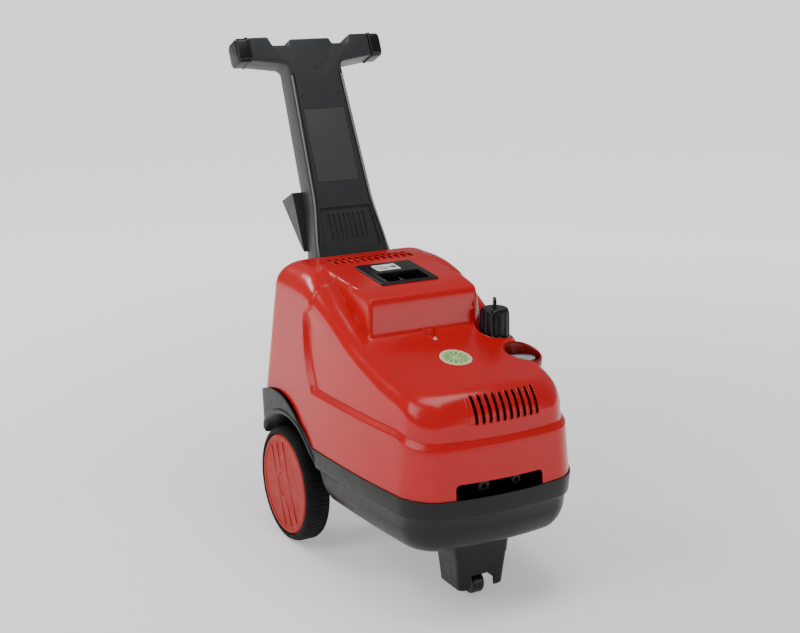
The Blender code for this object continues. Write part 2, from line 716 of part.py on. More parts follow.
def foot():
    top = BASE_BOTTOM - GAP
    web = FOOT_WEB_Z
    rings = []
    for level, half, spread in ((FOOT_BOTTOM, FOOT_HALF_BOTTOM, 0.0), (top, FOOT_HALF_TOP, 0.016)):
        outline = rounded_box_outline(-half, half, FOOT_FRONT - spread * 0.6, FOOT_REAR + spread * 0.6, 0.010)
        rings.append([(x, y, level) for x, y in outline])
    housing = loft("foot_housing", rings, "base_plastic")
    for low, high, half, spread in ((FOOT_BOTTOM - 0.01, web, FOOT_HALF_BOTTOM - FOOT_WALL, -FOOT_WALL),
                                    (web + 0.006, top + 0.01, FOOT_HALF_BOTTOM, 0.0)):
        outline = rounded_box_outline(-half, half, FOOT_FRONT - spread, FOOT_REAR + spread, 0.008)
        cut(housing, prism("hollow", outline, low, high))
    cut(housing, box("window", (-0.030, FOOT_FRONT - 0.03, FOOT_BOTTOM - 0.01), (0.030, CASTER_Y, web - 0.008)))
    cut(housing, cylinder("stem_hole", STEM_RADIUS + GAP, web - 0.01, web + 0.02, location=(0, CASTER_Y, 0), segments=16))
    return housing


def caster():
    """Fork turning on a stem in the foot, with its wheel and pin; the wheel trails forward at rest."""
    web = FOOT_WEB_Z
    pivot = (0, CASTER_Y, 0)
    wheel_z = GROUND_Z + CASTER_RADIUS
    crown = web - 0.0005
    leg_in = CASTER_WIDTH / 2 + 0.0005
    leg_out = leg_in + FORK_PLATE
    profile = ((0, crown - 0.006), (leg_out, crown - 0.006), (leg_out, crown), (STEM_RADIUS, crown),
               (STEM_RADIUS, web + 0.022), (0, web + 0.022))
    fork = lathe("caster_fork", profile, "steel", segments=16, location=pivot)
    for side in (-1, 1):
        x0, x1 = sorted((side * leg_in, side * leg_out))
        outline = rounded_polygon(((-CASTER_TRAIL - 0.010, wheel_z - 0.008, 0.006),
                                   (-CASTER_TRAIL + 0.010, wheel_z - 0.008, 0.006),
                                   (0.008, crown - 0.005, 0), (-0.008, crown - 0.005, 0)))
        leg = loft("leg", [[(x, y, z) for y, z in outline] for x in (x0, x1)], "steel", location=pivot)
        join(fork, leg)
    hub = (0, CASTER_Y - CASTER_TRAIL, wheel_z)
    cut(fork, cylinder("pin_hole", 0.004 + GAP, -0.03, 0.03, axis="X", segments=12, location=hub))
    cylinder("caster_pin", 0.004, -leg_out - 0.001, leg_out + 0.001, "steel", "X", 12, location=hub)
    half, r = CASTER_WIDTH / 2, CASTER_RADIUS
    lathe("caster_wheel", ((0.004 + GAP, -half), (r - 0.002, -half), (r, -half + 0.003), (r, half - 0.003),
                           (r - 0.002, half), (0.004 + GAP, half)), "black_plastic", "X", 24, location=hub)


# ---------------------------------------------------------------- handle

def offset_outline(points, distance):
    """Moves a counter-clockwise outline inwards by distance."""
    moved = []
    for k, point in enumerate(points):
        here = Vector(point)
        back = (here - Vector(points[k - 1])).normalized()
        ahead = (Vector(points[(k + 1) % len(points)]) - here).normalized()
        normal_a, normal_b = Vector((-back.y, back.x)), Vector((-ahead.y, ahead.x))
        middle = (normal_a + normal_b).normalized()
        moved.append(tuple(here + middle * (distance / max(middle.dot(normal_a), 0.4))))
    return moved


def handle_outline():
    bar_end = GRIP_HALF - GRIP_CAP
    right = ((COLUMN_FOOT_HALF + 0.007, -0.060, 0), (COLUMN_FOOT_HALF, 0.0, 0.05), (COLUMN_MID_HALF, 0.120, 0.30),
             (COLUMN_TOP_HALF, GRIP_LOW - 0.012, 0.014), (bar_end, GRIP_LOW, 0), (bar_end, GRIP_HIGH, 0.004),
             (0.099, GRIP_HIGH, 0.006), (0.091, GRIP_HIGH - 0.020, 0.005), (0.0535, GRIP_HIGH - 0.020, 0.005),
             (0.048, GRIP_HIGH - 0.007, 0.006))
    left = [(-x, s, radius) for x, s, radius in reversed(right)]
    return rounded_polygon(tuple(right) + tuple(left), 2)


def handle():
    frame = empty("handle_frame", (0, HANDLE_Y, HANDLE_Z), (math.pi / 2 - HANDLE_LEAN, 0, 0))
    outline = handle_outline()
    inner = offset_outline(outline, HANDLE_WALL)
    split, depth, wall = -HANDLE_SPLIT, -HANDLE_DEPTH, HANDLE_WALL
    front = prism("handle_front", outline, split, 0.0, "handle_plastic", parent=frame)
    cut(front, prism("hollow", inner, split - 0.01, -wall, parent=frame))
    rear = prism("handle_rear", outline, depth, split - GAP, "handle_plastic", parent=frame)
    cut(rear, prism("hollow", inner, depth + wall, split + 0.01, parent=frame))
    for shell in (front, rear):
        cut(shell, box("floor", (-0.2, 0.0, 0.40), (0.2, 0.4, COLUMN_SEAT_Z)))
    label = rounded_box_outline(-LABEL_HALF, LABEL_HALF, *LABEL_S, 0.004)
    cut(front, prism("label_recess", label, -0.0015, 0.01, parent=frame))
    prism("handle_label", offset_outline(label, GAP), -0.0012, 0.0, "insert_plastic", parent=frame)
    lower = rounded_polygon(((-0.070, 0.014, 0.006), (0.070, 0.014, 0.006), (0.061, 0.106, 0.006),
                             (-0.061, 0.106, 0.006)))
    cut(front, prism("lower_recess", lower, -0.0015, 0.01, parent=frame))
    for k in range(GROOVES):
        x = (k - (GROOVES - 1) / 2) * GROOVE_PITCH
        groove = rounded_box_outline(x - 0.0032, x + 0.0032, 0.034, 0.092, 0.003, 1)
        cut(front, prism("groove", groove, -0.0030, 0.01, parent=frame))
    for side, label_name in ((-1, "left"), (1, "right")):
        x0, x1 = sorted((side * (GRIP_HALF - GRIP_CAP + GAP), side * GRIP_HALF))
        section = rounded_polygon(((GRIP_LOW - 0.003, depth - 0.003, 0.010), (GRIP_HIGH + 0.003, depth - 0.003, 0.010),
                                   (GRIP_HIGH + 0.003, 0.003, 0.010), (GRIP_LOW - 0.003, 0.003, 0.010)))
        loft(f"grip_cap_{label_name}", [[(x, s, d) for s, d in section] for x in (x0, x1)], "black_plastic",
             parent=frame)
    holder_side = ((0.026, depth - GAP), (0.160, depth - GAP), (0.160, depth - 0.062), (0.040, depth - 0.010))
    holder = loft("rear_holder", [[(x, s, d) for s, d in holder_side] for x in (-HOLDER_HALF, HOLDER_HALF)],
                  "handle_plastic", parent=frame)
    pocket = ((0.045, depth - 0.0035), (0.180, depth - 0.0035), (0.180, depth - 0.067), (0.049, depth - 0.0095))
    inside = HOLDER_HALF - 0.003
    cut(holder, loft("pocket", [[(x, s, d) for s, d in pocket] for x in (-inside, inside)], "handle_plastic",
                     parent=frame))
    post = box("handle_post", (-POST_HALF, POST_Y[0], SHELF_Z + GAP), (POST_HALF, POST_Y[1], COLUMN_SEAT_Z - GAP),
               "base_plastic")
    inside = POST_HALF - POST_WALL
    cut(post, box("hollow", (-inside, POST_Y[0] - 0.01, SHELF_Z + 0.008),
                  (inside, POST_Y[1] - POST_WALL, COLUMN_SEAT_Z - 0.008)))


# ---------------------------------------------------------------- controls

def deck_frame():
    """Empty on the deck's flat top, under the middle of the switch panel."""
    middle = (PANEL_FRONT + PANEL_REAR) / 2
    height = DECK_ROOF[1] - (DECK_ROOF[0] - middle) * math.tan(DECK_TILT)
    return empty("deck_frame", (0, middle, height + GAP), (DECK_TILT, 0, 0))


def switch_panel():
    frame = deck_frame()
    half_y = (PANEL_REAR - PANEL_FRONT) / 2
    outline = rounded_box_outline(-PANEL_HALF, PANEL_HALF, -half_y, half_y, 0.005)
    panel = prism("switch_panel", outline, 0.0, PANEL_THICK, parent=frame)
    low, high = SWITCH_POCKET
    join(panel, box("well", (-0.050, low - 0.002, -SWITCH_DEPTH), (0.050, high + 0.002, 0.001), parent=frame))
    cut(panel, box("well_inside", (-0.048, low, -SWITCH_DEPTH + 0.002), (0.048, high, 0.02), parent=frame))
    knob_y = (low + high) / 2
    floor = -SWITCH_DEPTH + 0.002
    cut(panel, cylinder("stem_hole", 0.0033, -0.04, 0.0, location=(0, knob_y, 0), segments=10, parent=frame))
    prism("panel_label", rounded_box_outline(-0.030, 0.022, 0.012, 0.036, 0.002), PANEL_THICK + GAP,
          PANEL_THICK + 0.0009, "dial_white", parent=frame)
    profile = ((0, floor - 0.010), (0.003, floor - 0.010), (0.003, floor + GAP), (0.017, floor + GAP),
               (0.016, floor + 0.006), (0, floor + 0.006))
    knob = lathe("switch_knob", profile, "black_plastic", segments=20, location=(0, knob_y, 0), parent=frame)
    join(knob, box("grip", (-0.0035, -0.015, floor + 0.004), (0.0035, 0.015, floor + 0.018),
                   location=(0, knob_y, 0), parent=frame))
    case = box("switch_case", (-0.030, low + 0.004, -0.070), (0.030, high - 0.004, -SWITCH_DEPTH - GAP),
               "motor_paint", parent=frame)
    cut(case, cylinder("stem_bore", 0.0033, floor - 0.012, 0.0, location=(0, knob_y, 0), segments=10, parent=frame))


def pressure_knob():
    """Fluted knob with a finger fin, its spindle and the unloader valve below."""
    base, top = KNOB_BASE_Z, KNOB_BASE_Z + KNOB_HEIGHT
    ring = []
    for k in range(KNOB_FLUTES * 4):
        angle = 2 * math.pi * k / (KNOB_FLUTES * 4)
        radius = KNOB_RADIUS - 0.0022 * (0.5 - 0.5 * math.cos(KNOB_FLUTES * angle))
        ring.append((radius * math.cos(angle), radius * math.sin(angle)))
    rings = []
    for height, scale in ((base, 1.0), (top - 0.005, 0.97), (top, 0.84)):
        rings.append([(x * scale, y * scale, height) for x, y in ring])
    knob = loft("pressure_knob", rings, "black_plastic", location=(KNOB_X, KNOB_Y, 0))
    fin = loft("fin", [[(x, y, z) for y, z in ((-0.017, top - 0.002), (0.017, top - 0.002), (0.010, top + FIN_HEIGHT),
                                               (-0.006, top + FIN_HEIGHT))] for x in (-0.0025, 0.0025)],
               "black_plastic", location=(KNOB_X, KNOB_Y, 0))
    fin.rotation_euler.z = FIN_ANGLE
    join(knob, fin)
    cut(knob, cylinder("spindle_bore", SPINDLE_RADIUS + GAP, base - 0.01, base + 0.034, segments=20,
                       location=(KNOB_X, KNOB_Y, 0)))
    cylinder("unloader_spindle", SPINDLE_RADIUS, UNLOADER_TOP - 0.030, base + 0.030, "steel", segments=20,
             location=(KNOB_X, KNOB_Y, 0))
    body = box("unloader_valve", (KNOB_X - 0.024, KNOB_Y - 0.024, UNLOADER_TOP - 0.068),
               (KNOB_X + 0.024, KNOB_Y + 0.024, UNLOADER_TOP), "brass")
    cut(body, cylinder("bore", SPINDLE_RADIUS + GAP, UNLOADER_TOP - 0.036, UNLOADER_TOP + 0.01, segments=20,
                       location=(KNOB_X, KNOB_Y, 0)))
    box("unloader_bracket", (PUMP_HALF + GAP, KNOB_Y - 0.022, UNLOADER_TOP - 0.073),
        (KNOB_X + 0.020, -0.070, UNLOADER_TOP - 0.068 - GAP), "steel")


def gauge():
    top, r = GAUGE_TOP_Z, GAUGE_RADIUS
    place = (GAUGE_X, GAUGE_Y, 0)
    seat = top - 0.010 + GAP
    lathe("gauge_body", ((0, top - 0.060), (0.005, top - 0.060), (0.005, top - 0.036), (r, top - 0.036), (r, seat),
                         (r + GAUGE_RIM, seat), (r + GAUGE_RIM, top), (r + 0.0015, top), (r + 0.0015, top - 0.0055),
                         (0, top - 0.0055)), "black_plastic", segments=24, location=place)
    cylinder("gauge_dial", r + 0.001, top - 0.0052, top - 0.0047, "dial_white", segments=24, location=place)
    pointer = ((-0.003, -0.0015), (-0.003, 0.0015), (0.019, 0.0004), (0.019, -0.0004))
    prism("gauge_needle", pointer, top - 0.0042, top - 0.0036, "black_plastic", location=place)
    cylinder("gauge_lens", r + 0.001, top - 0.0028, top - 0.0004, "clear_lens", segments=24, location=place)


def cover_marks():
    """Round label lying on the bonnet."""
    tilt = math.atan2(bonnet_height(LABEL_Y + 0.01) - bonnet_height(LABEL_Y - 0.01), 0.02)
    frame = empty("label_frame", (0, LABEL_Y, bonnet_height(LABEL_Y)), (tilt, 0, 0))
    cylinder("round_label", LABEL_RADIUS, 0.0012, 0.0018, "label_green", segments=28, parent=frame)


# ---------------------------------------------------------------- drive

def motor():
    axis = (0, 0, DRIVE_Z)
    front, rear, r = MOTOR_FRONT, MOTOR_REAR, MOTOR_RADIUS
    lathe("motor_stator", ((r - 0.020, front + 0.008 + GAP), (r, front + 0.008 + GAP), (r, rear - 0.008 - GAP),
                           (r - 0.020, rear - 0.008 - GAP)), "motor_paint", "Y", 24, location=axis)
    for name, y in (("motor_front_shield", front), ("motor_rear_shield", rear - 0.008)):
        lathe(name, ((SHAFT_RADIUS + 0.0005, y), (r, y), (r, y + 0.008), (SHAFT_RADIUS + 0.0005, y + 0.008)),
              "cast_aluminium", "Y", 24, location=axis)
    core = r - 0.021
    lathe("rotor_shaft", ((0, front - 0.035), (SHAFT_RADIUS, front - 0.035), (SHAFT_RADIUS, front + 0.018),
                          (core, front + 0.018), (core, rear - 0.018), (SHAFT_RADIUS, rear - 0.018),
                          (SHAFT_RADIUS, rear + 0.032), (0, rear + 0.032)), "steel", "Y", 20, location=axis)
    blades = []
    for k in range(8):
        for radius, turn in ((0.016, -0.30), (0.062, -0.02), (0.062, 0.08), (0.016, 0.12)):
            angle = 2 * math.pi * k / 8 + turn
            blades.append((radius * math.cos(angle), radius * math.sin(angle)))
    fan = loft("cooling_fan", [[(x, y, z) for x, z in blades] for y in (rear + 0.012, rear + 0.028)],
               "black_plastic", location=axis)
    cut(fan, cylinder("shaft_bore", SHAFT_RADIUS + GAP, rear, rear + 0.05, axis="Y", segments=20, location=axis))
    lathe("fan_cowl", ((r - 0.004, rear + GAP), (r, rear + GAP), (r, rear + 0.040), (0.022, rear + 0.045),
                       (0.022, rear + 0.042), (r - 0.004, rear + 0.037)), "black_plastic", "Y", 24, location=axis)
    cradle = box("motor_cradle", (-0.062, front + 0.016, CRADLE_Z), (0.062, rear - 0.016, DRIVE_Z - 0.045),
                 "steel")
    cut(cradle, cylinder("seat", r + GAP, front, rear, axis="Y", segments=24, location=axis))
    floor = BASE_BOTTOM + BASE_WALL + GAP
    mount = box("rubber_mount", (-0.056, front + 0.020, floor), (0.056, rear - 0.020, CRADLE_Z - GAP), "hose_rubber")
    cut(mount, box("middle", (-0.036, front + 0.045, 0.10), (0.036, rear - 0.045, 0.20)))
    box("capacitor_box", (-r - 0.025, front + 0.03, DRIVE_Z - 0.035), (-r - 0.001, rear - 0.03, DRIVE_Z + 0.045),
        "black_plastic")


def plunger_places():
    for k in range(3):
        angle = math.pi / 2 + 2 * math.pi * k / 3
        yield k + 1, PLUNGER_CIRCLE * math.cos(angle), PLUNGER_CIRCLE * math.sin(angle)


def pump():
    axis = (0, 0, DRIVE_Z)
    rear = MOTOR_FRONT - GAP
    mid = rear - PUMP_LENGTH
    front = mid - GAP - HEAD_LENGTH
    h = PUMP_HALF
    crank = box("pump_crankcase", (-h, mid, DRIVE_Z - h), (h, rear, DRIVE_Z + h), "cast_aluminium")
    cut(crank, cylinder("cavity", h - 0.008, mid + 0.016, rear + 0.01, axis="Y", segments=24, location=axis))
    head = box("pump_head", (-h + 0.008, front, DRIVE_Z - h + 0.008), (h - 0.008, mid - GAP, DRIVE_Z + h - 0.008),
               "brass")
    for _, x, z in plunger_places():
        place = (x, 0, DRIVE_Z + z)
        cut(crank, cylinder("bore", PLUNGER_RADIUS + GAP, mid - 0.01, mid + 0.03, axis="Y", segments=12,
                            location=place))
        cut(head, cylinder("bore", PLUNGER_RADIUS + GAP, mid - PLUNGER_BORE, mid + 0.01, axis="Y", segments=12,
                           location=place))
    circle = arc_points((0, 0), SWASH_RADIUS, 0, 2 * math.pi, 24)[:-1]
    swash_front = SWASH_REAR - SWASH_THICK
    swash = [[(x, y - slope * z, z) for x, z in circle] for y, slope in ((SWASH_REAR, 0.0), (swash_front, SWASH_SLOPE))]
    plate = loft("swash_plate", swash, "steel", location=axis)
    cut(plate, cylinder("shaft_bore", SHAFT_RADIUS + GAP, -0.2, 0.1, axis="Y", segments=20, location=axis))
    back = swash_front - SWASH_SLOPE * (PLUNGER_CIRCLE + PLUNGER_RADIUS) - RUN
    for number, x, z in plunger_places():
        cylinder(f"plunger_{number}", PLUNGER_RADIUS, mid - PLUNGER_REACH, back, "steel", "Y", 12,
                 location=(x, 0, DRIVE_Z + z))
    cover_plate = box("valve_cover", (-0.040, front - 0.004, DRIVE_Z - 0.040), (0.040, front - GAP, DRIVE_Z + 0.042),
                      "steel")
    for _, x, z in plunger_places():
        outline = arc_points((0, 0), 0.0105, 0, 2 * math.pi, 6)[:-1]
        join(cover_plate, loft("cap", [[(u, y, v) for u, v in outline] for y in (front - 0.012, front - 0.002)],
                               "steel", location=(x, 0, DRIVE_Z + z)))
    return front


def couplings(head_front):
    """Water inlet and pressure outlet behind the mouth of the cover, with the hoses to the pump."""
    plate = box("coupling_plate", (-0.078, PLATE_Y, BASE_BOTTOM + BASE_WALL + GAP), (0.078, PLATE_Y + 0.004, 0.290),
                "steel")
    for name, x, radius, finish in (("inlet_coupling", -COUPLING_X, 0.014, "brass"),
                                    ("outlet_coupling", COUPLING_X, 0.011, "steel")):
        place = (x, 0, COUPLING_Z)
        cut(plate, cylinder("hole", 0.0083, PLATE_Y - 0.01, PLATE_Y + 0.02, axis="Y", segments=16, location=place))
        lathe(name, ((0.005, PLATE_Y - 0.046), (radius - 0.002, PLATE_Y - 0.046), (radius, PLATE_Y - 0.043),
                     (radius, PLATE_Y - 0.012), (radius + 0.003, PLATE_Y - 0.012), (radius + 0.003, PLATE_Y - GAP),
                     (0.008, PLATE_Y - GAP), (0.008, PLATE_Y + 0.018), (0.005, PLATE_Y + 0.018)), finish, "Y", 20,
              location=place)
        rear = PLATE_Y + 0.018 + GAP
        way = math.copysign(1.0, x)
        port = (way * (PUMP_HALF - 0.008 + GAP), head_front + 0.028, DRIVE_Z - 0.030)
        middle = ((x * 1.9, (rear + head_front) / 2, COUPLING_Z - 0.010), (x * 2.3, head_front, DRIVE_Z - 0.034))
        route = route_between((x, rear, COUPLING_Z), (0, 1, 0), port, (way, 0, 0), middle)
        tube(name.replace("coupling", "hose"), route, 0.0075, "hose_rubber")


def valve_hose(head_front):
    port = (PUMP_HALF - 0.008 + GAP, head_front + 0.028, DRIVE_Z + 0.020)
    inlet = (KNOB_X - 0.024 - GAP, KNOB_Y, UNLOADER_TOP - 0.030)
    tube("bypass_hose", route_between(port, (1, 0, 0), inlet, (-1, 0, 0)), 0.0065, "hose_rubber")
    outlet = (KNOB_X, KNOB_Y - 0.024 - GAP, UNLOADER_TOP - 0.030)
    stem = (GAUGE_X, GAUGE_Y, GAUGE_TOP_Z - 0.060 - GAP)
    tube("gauge_pipe", route_between(outlet, (0, -1, 0), stem, (0, 0, -1)), 0.0025, "brass", sides=6)


def cable_gland():
    wall = COVER_REAR + BASE_LIP - 0.003
    lathe("cable_gland", ((0.005, wall - 0.020), (GLAND_RADIUS, wall - 0.020), (GLAND_RADIUS, wall + 0.0035),
                          (GLAND_RADIUS + 0.005, wall + 0.0035), (GLAND_RADIUS + 0.004, wall + 0.014),
                          (0.008, wall + 0.022), (0.005, wall + 0.022)), "black_plastic", "Y", 20,
          location=(GLAND_X, 0, GLAND_Z))


def stand_on_ground():
    """Lifts the machine so that its wheels stand at z = 0."""
    for thing in bpy.data.objects:
        if thing.parent is None:
            thing.location.z -= GROUND_Z


def main():
    clear_scene()
    cover()
    base()
    axle()
    for side, label in ((-1, "left"), (1, "right")):
        wheel(side, label)
    foot()
    caster()
    handle()
    switch_panel()
    pressure_knob()
    gauge()
    cover_marks()
    motor()
    head_front = pump()
    couplings(head_front)
    valve_hose(head_front)
    cable_gland()
    stand_on_ground()


main()
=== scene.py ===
"""Visual model of an electric cold-water pressure washer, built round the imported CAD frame."""

import json
import math

import bmesh
import bpy
import numpy as np
from mathutils import Matrix, Vector
from mathutils.bvhtree import BVHTree


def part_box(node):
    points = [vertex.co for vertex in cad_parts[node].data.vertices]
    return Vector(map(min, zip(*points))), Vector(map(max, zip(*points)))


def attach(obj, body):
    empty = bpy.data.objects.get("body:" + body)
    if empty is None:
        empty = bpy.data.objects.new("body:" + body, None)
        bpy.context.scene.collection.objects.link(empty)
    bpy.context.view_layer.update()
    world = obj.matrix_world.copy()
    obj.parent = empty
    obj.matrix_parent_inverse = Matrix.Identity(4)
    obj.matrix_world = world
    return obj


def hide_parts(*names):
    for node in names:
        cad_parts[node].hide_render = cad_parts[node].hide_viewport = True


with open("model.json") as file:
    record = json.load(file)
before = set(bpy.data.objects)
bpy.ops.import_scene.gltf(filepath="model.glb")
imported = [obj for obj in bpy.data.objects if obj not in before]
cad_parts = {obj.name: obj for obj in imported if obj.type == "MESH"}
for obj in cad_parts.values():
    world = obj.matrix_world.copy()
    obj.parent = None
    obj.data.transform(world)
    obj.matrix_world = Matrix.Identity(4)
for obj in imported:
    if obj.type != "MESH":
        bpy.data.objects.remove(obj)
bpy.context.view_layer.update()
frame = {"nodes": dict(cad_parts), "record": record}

SIDES = ((-1, "left"), (1, "right"))
ROUND_STEPS = 96  # points round a pocket, a wheel arch or a cap
CUT_TOP = 0.75  # upper end of the cutters that open the cover from above

# Cover: plan outline, levels, ledge, shoulders and wall
COVER_HALF = 0.213
COVER_REAR = 0.250
COVER_NOSE = -0.441
REAR_CORNER = 0.045
NOSE_CORNER = 0.060
TAPER = 0.155
BOW = 0.026
REAR_BOW = 0.010
DRAFT = 0.095
WALL = 0.0022
SEAM_Z = 0.250
SEAM_ARCH = (0.139, 0.142, 0.1824)
LEDGE_FRONT_Z = 0.345
LEDGE_SIDE_Z = 0.358
LEDGE_RISE = 0.013
LEDGE_DEPTH = 0.009
LEDGE_SLOPE = 0.0055
LEDGE_TURN = (-0.015, 0.042)
REAR_SHOULDER = 0.058
SIDE_SHOULDER = 0.030
NOSE_SHOULDER = 0.050
NOSE_CROWN = 0.018
BONNET_LINE = ((0.300, 0.595), (0.075, 0.595), (0.045, 0.587), (-0.130, 0.498), (-0.170, 0.484),
               (-0.256, 0.463), (-0.350, 0.448), (COVER_NOSE, 0.430))

# Deck on the bonnet
DECK_STEP_HALF = 0.121
DECK_ROOF_HALF = 0.128
DECK_SIDE_SLOPE = 8.0
DECK_SIDE_TOP = 0.58
DECK_ROOF = (0.080, 0.5945)
DECK_BEND = (-0.085, 0.5785)
DECK_STEP = (-0.127, 0.567)
DECK_FOOT = (-0.150, 0.462)
DECK_EDGE = 0.012  # rounding of the deck's upper edges
DECK_CORNER = 0.050  # rounding of the step's upright corners
DECK_FILLET = 0.005

# Base tub; its step is given as (height, inset)
BASE_LIP = 0.003
BASE_BOTTOM = 0.1335
BASE_WALL = 0.004
TUB_STEP = ((0.2150, 0.0022), (0.2115, 0.0030), (0.2095, 0.0046), (0.2070, 0.0082), (0.2045, 0.0100))
BELLY_INSET, BELLY_ROUND, BELLY_HEIGHT, BELLY_TOP = 0.0105, 0.046, 0.066, 0.17
ARCH_Y, ARCH_Z, ARCH_RADIUS = 0.080, 0.130, 0.156
WHEEL_GAP = 0.0065
LIP_ROUND = 0.0065
LIP_START, LIP_END = 31, 148  # ends of the rolled edge round an arch, in degrees
TAIL_Y, TAIL_Z, TAIL_ROUND = 0.252, 0.207, 0.030  # rounded end of the tub behind a wheel
FOOT_WEB_Z = 0.060

# Wheels: tread, seat of the cap, and the raised bars of the cap
TREAD_RIBS, RIB_STEPS, TREAD_DEPTH = 72, 4, 0.0011
CAP_SEAT = 0.1088
BAR_PITCH, BAR_HALF, BAR_REACH, BAR_START = 0.030, 0.0008, 0.092, 0.034
BAR_SLANT = math.radians(68)

# Openings of the cover
MOUTH_LEFT, MOUTH_RIGHT, MOUTH_TOP = -0.104, 0.085, 0.279
NOSE_SLOTS, NOSE_SLOT_PITCH, NOSE_SLOT_WIDTH, NOSE_SLOT_CENTRE = 10, 0.0150, 0.0080, 0.0155
NOSE_SLOT_Z = (0.384, 0.4335)
ROOF_SLOTS, ROOF_SLOT_PITCH, ROOF_SLOT_WIDTH = 12, 0.0160, 0.0092
ROOF_SLOT_Y = (0.083, 0.134)
POCKET_WALL = 0.003
KNOB_POCKET = 0.040
GAUGE_POCKET = 0.035
POD_WALL = 0.005
SPINDLE_HOLE = 0.012

# Controls and labels
KNOB_FLUTES, FLUTE_STEPS, FLUTE_DEPTH = 14, 10, 0.0032
KNOB_BODY_HEIGHT = 0.060
FIN_TURN, FIN_HALF = math.radians(-27), 0.0030
SCALE_STROKES, SCALE_RADIUS = 25, 0.0238
LABEL_MARKS = 12
PANEL_Y, PANEL_HALF, PANEL_REST = -0.009, 0.066, 0.006
WELL_DEPTH = 0.022

# Handle plane: x across, s up the handle, d towards the front
HANDLE_LEAN = math.radians(24.9)
HANDLE_ORIGIN = (0, 0.183, 0.593)
HANDLE_DEPTH, HANDLE_SPLIT, HANDLE_EDGE = 0.054, 0.026, 0.0035
COLUMN_FOOT_HALF, COLUMN_MID_HALF, COLUMN_TOP_HALF = 0.089, 0.073, 0.064
COLUMN_SEAT_Z = 0.552
GRIP_HALF, GRIP_CAP = 0.176, 0.030
CAP_LIP, CAP_CORNER = 0.003, 0.011
GRIP_LOW, GRIP_HIGH = 0.450, 0.502
LABEL_HALF, LABEL_S = 0.050, (0.164, 0.332)
GROOVES, GROOVE_PITCH, GROOVE_HALF = 8, 0.0118, 0.0032
RAIL_INSET, RAIL_ROUND = 0.0052, 0.0016


# ---------------------------------------------------------------- materials

# Base colour, roughness, strength of the mirror-like part, grain size and grain height
FINISHES = {
    "red_plastic": ((0.54, 0.0050, 0.0065), 0.20, 0.36, 0.0040, 0.000012),
    # Gauge pod: darker copy of the red cover plastic, painted shade for the pod and its recess
    "pod_red_painted_shade": ((0.22, 0.0030, 0.0020), 0.30, 0.34, 0.0040, 0.000020),
    "base_plastic": ((0.0045, 0.0052, 0.0048), 0.36, 0.30, 0.0007, 0.000050),
    "handle_plastic": ((0.0270, 0.0285, 0.0305), 0.34, 0.34, 0.0006, 0.000040),
    # Rails: lighter grey than the handle plastic, a painted highlight along the column's edge rails
    "rail_painted_highlight": ((0.190, 0.195, 0.190), 0.25, 0.50, 0.0006, 0.000030),
    "insert_plastic": ((0.042, 0.047, 0.043), 0.55, 0.25, 0.0005, 0.000060),
    "black_plastic": ((0.0030, 0.0030, 0.0034), 0.32, 0.35, 0.0007, 0.000030),
    "tyre_rubber": ((0.0042, 0.0042, 0.0045), 0.72, 0.22, 0.0009, 0.000080),
    "wheel_red": ((0.42, 0.016, 0.009), 0.50, 0.25, 0.0009, 0.000050),
    "steel": ((0.55, 0.56, 0.58), 0.30, 0.50, 0.0012, 0.000015),
    "brass": ((0.72, 0.52, 0.22), 0.30, 0.50, 0.0012, 0.000020),
    "cast_aluminium": ((0.50, 0.51, 0.52), 0.50, 0.50, 0.0011, 0.000090),
    "motor_paint": ((0.10, 0.11, 0.13), 0.45, 0.50, 0.0010, 0.000040),
    "dial_white": ((0.80, 0.80, 0.77), 0.45, 0.50, 0.0009, 0.000010),
    "label_cream": ((0.74, 0.70, 0.44), 0.40, 0.50, 0.0009, 0.000012),
    "label_green": ((0.46, 0.66, 0.30), 0.40, 0.50, 0.0009, 0.000012),
    "label_mark": ((0.10, 0.34, 0.07), 0.45, 0.50, 0.0009, 0.000012),
    "print_grey": ((0.10, 0.11, 0.11), 0.50, 0.50, 0.0009, 0.000012),
    "hose_rubber": ((0.020, 0.020, 0.022), 0.60, 0.50, 0.0008, 0.000060),
}
METALS = ("steel", "brass", "cast_aluminium")
# Slots of the finishes that have none of their own
SLOT_OF = {"pod_red_painted_shade": "red_plastic", "rail_painted_highlight": "handle_plastic", "label_cream": "label_green",
           "label_mark": "label_green", "print_grey": "insert_plastic"}
# Couplings and their plate lie in the dark behind the hose mouth; their black finish is painted shade in
# place of their own metal colours
SHADED = ("inlet_coupling", "outlet_coupling", "coupling_plate")


def link(tree, out, into):
    tree.links.new(out, into)


def blank_material(name):
    """New material with its shader node and a node of object coordinates."""
    made = bpy.data.materials.new(name)
    made.use_nodes = True
    tree = made.node_tree
    return made, tree.nodes["Principled BSDF"], tree.nodes.new("ShaderNodeTexCoord")


def noise(tree, coordinates, size, detail=3.0):
    made = tree.nodes.new("ShaderNodeTexNoise")
    made.inputs["Scale"].default_value = 1.0 / size
    made.inputs["Detail"].default_value = detail
    link(tree, coordinates.outputs["Object"], made.inputs["Vector"])
    return made.outputs["Fac"]


def spread(tree, value, low, high):
    """Maps a noise value onto low..high."""
    made = tree.nodes.new("ShaderNodeMapRange")
    made.inputs["From Min"].default_value = 0.3
    made.inputs["From Max"].default_value = 0.7
    made.inputs["To Min"].default_value = low
    made.inputs["To Max"].default_value = high
    link(tree, value, made.inputs["Value"])
    return made.outputs["Result"]


def mottled(tree, coordinates, colour, size, amount):
    """Colour that drifts a little lighter and darker over the surface."""
    mix = tree.nodes.new("ShaderNodeMix")
    mix.data_type = "RGBA"
    mix.inputs["A"].default_value = (*[c * (1 - amount) for c in colour], 1)
    mix.inputs["B"].default_value = (*[min(c * (1 + amount), 1) for c in colour], 1)
    link(tree, noise(tree, coordinates, size), mix.inputs["Factor"])
    return mix.outputs["Result"]


def bumped(tree, value, height):
    """Normal that follows a bump of the given height."""
    bump = tree.nodes.new("ShaderNodeBump")
    bump.inputs["Distance"].default_value = height
    bump.inputs["Strength"].default_value = 1.0
    link(tree, value, bump.inputs["Height"])
    return bump.outputs["Normal"]


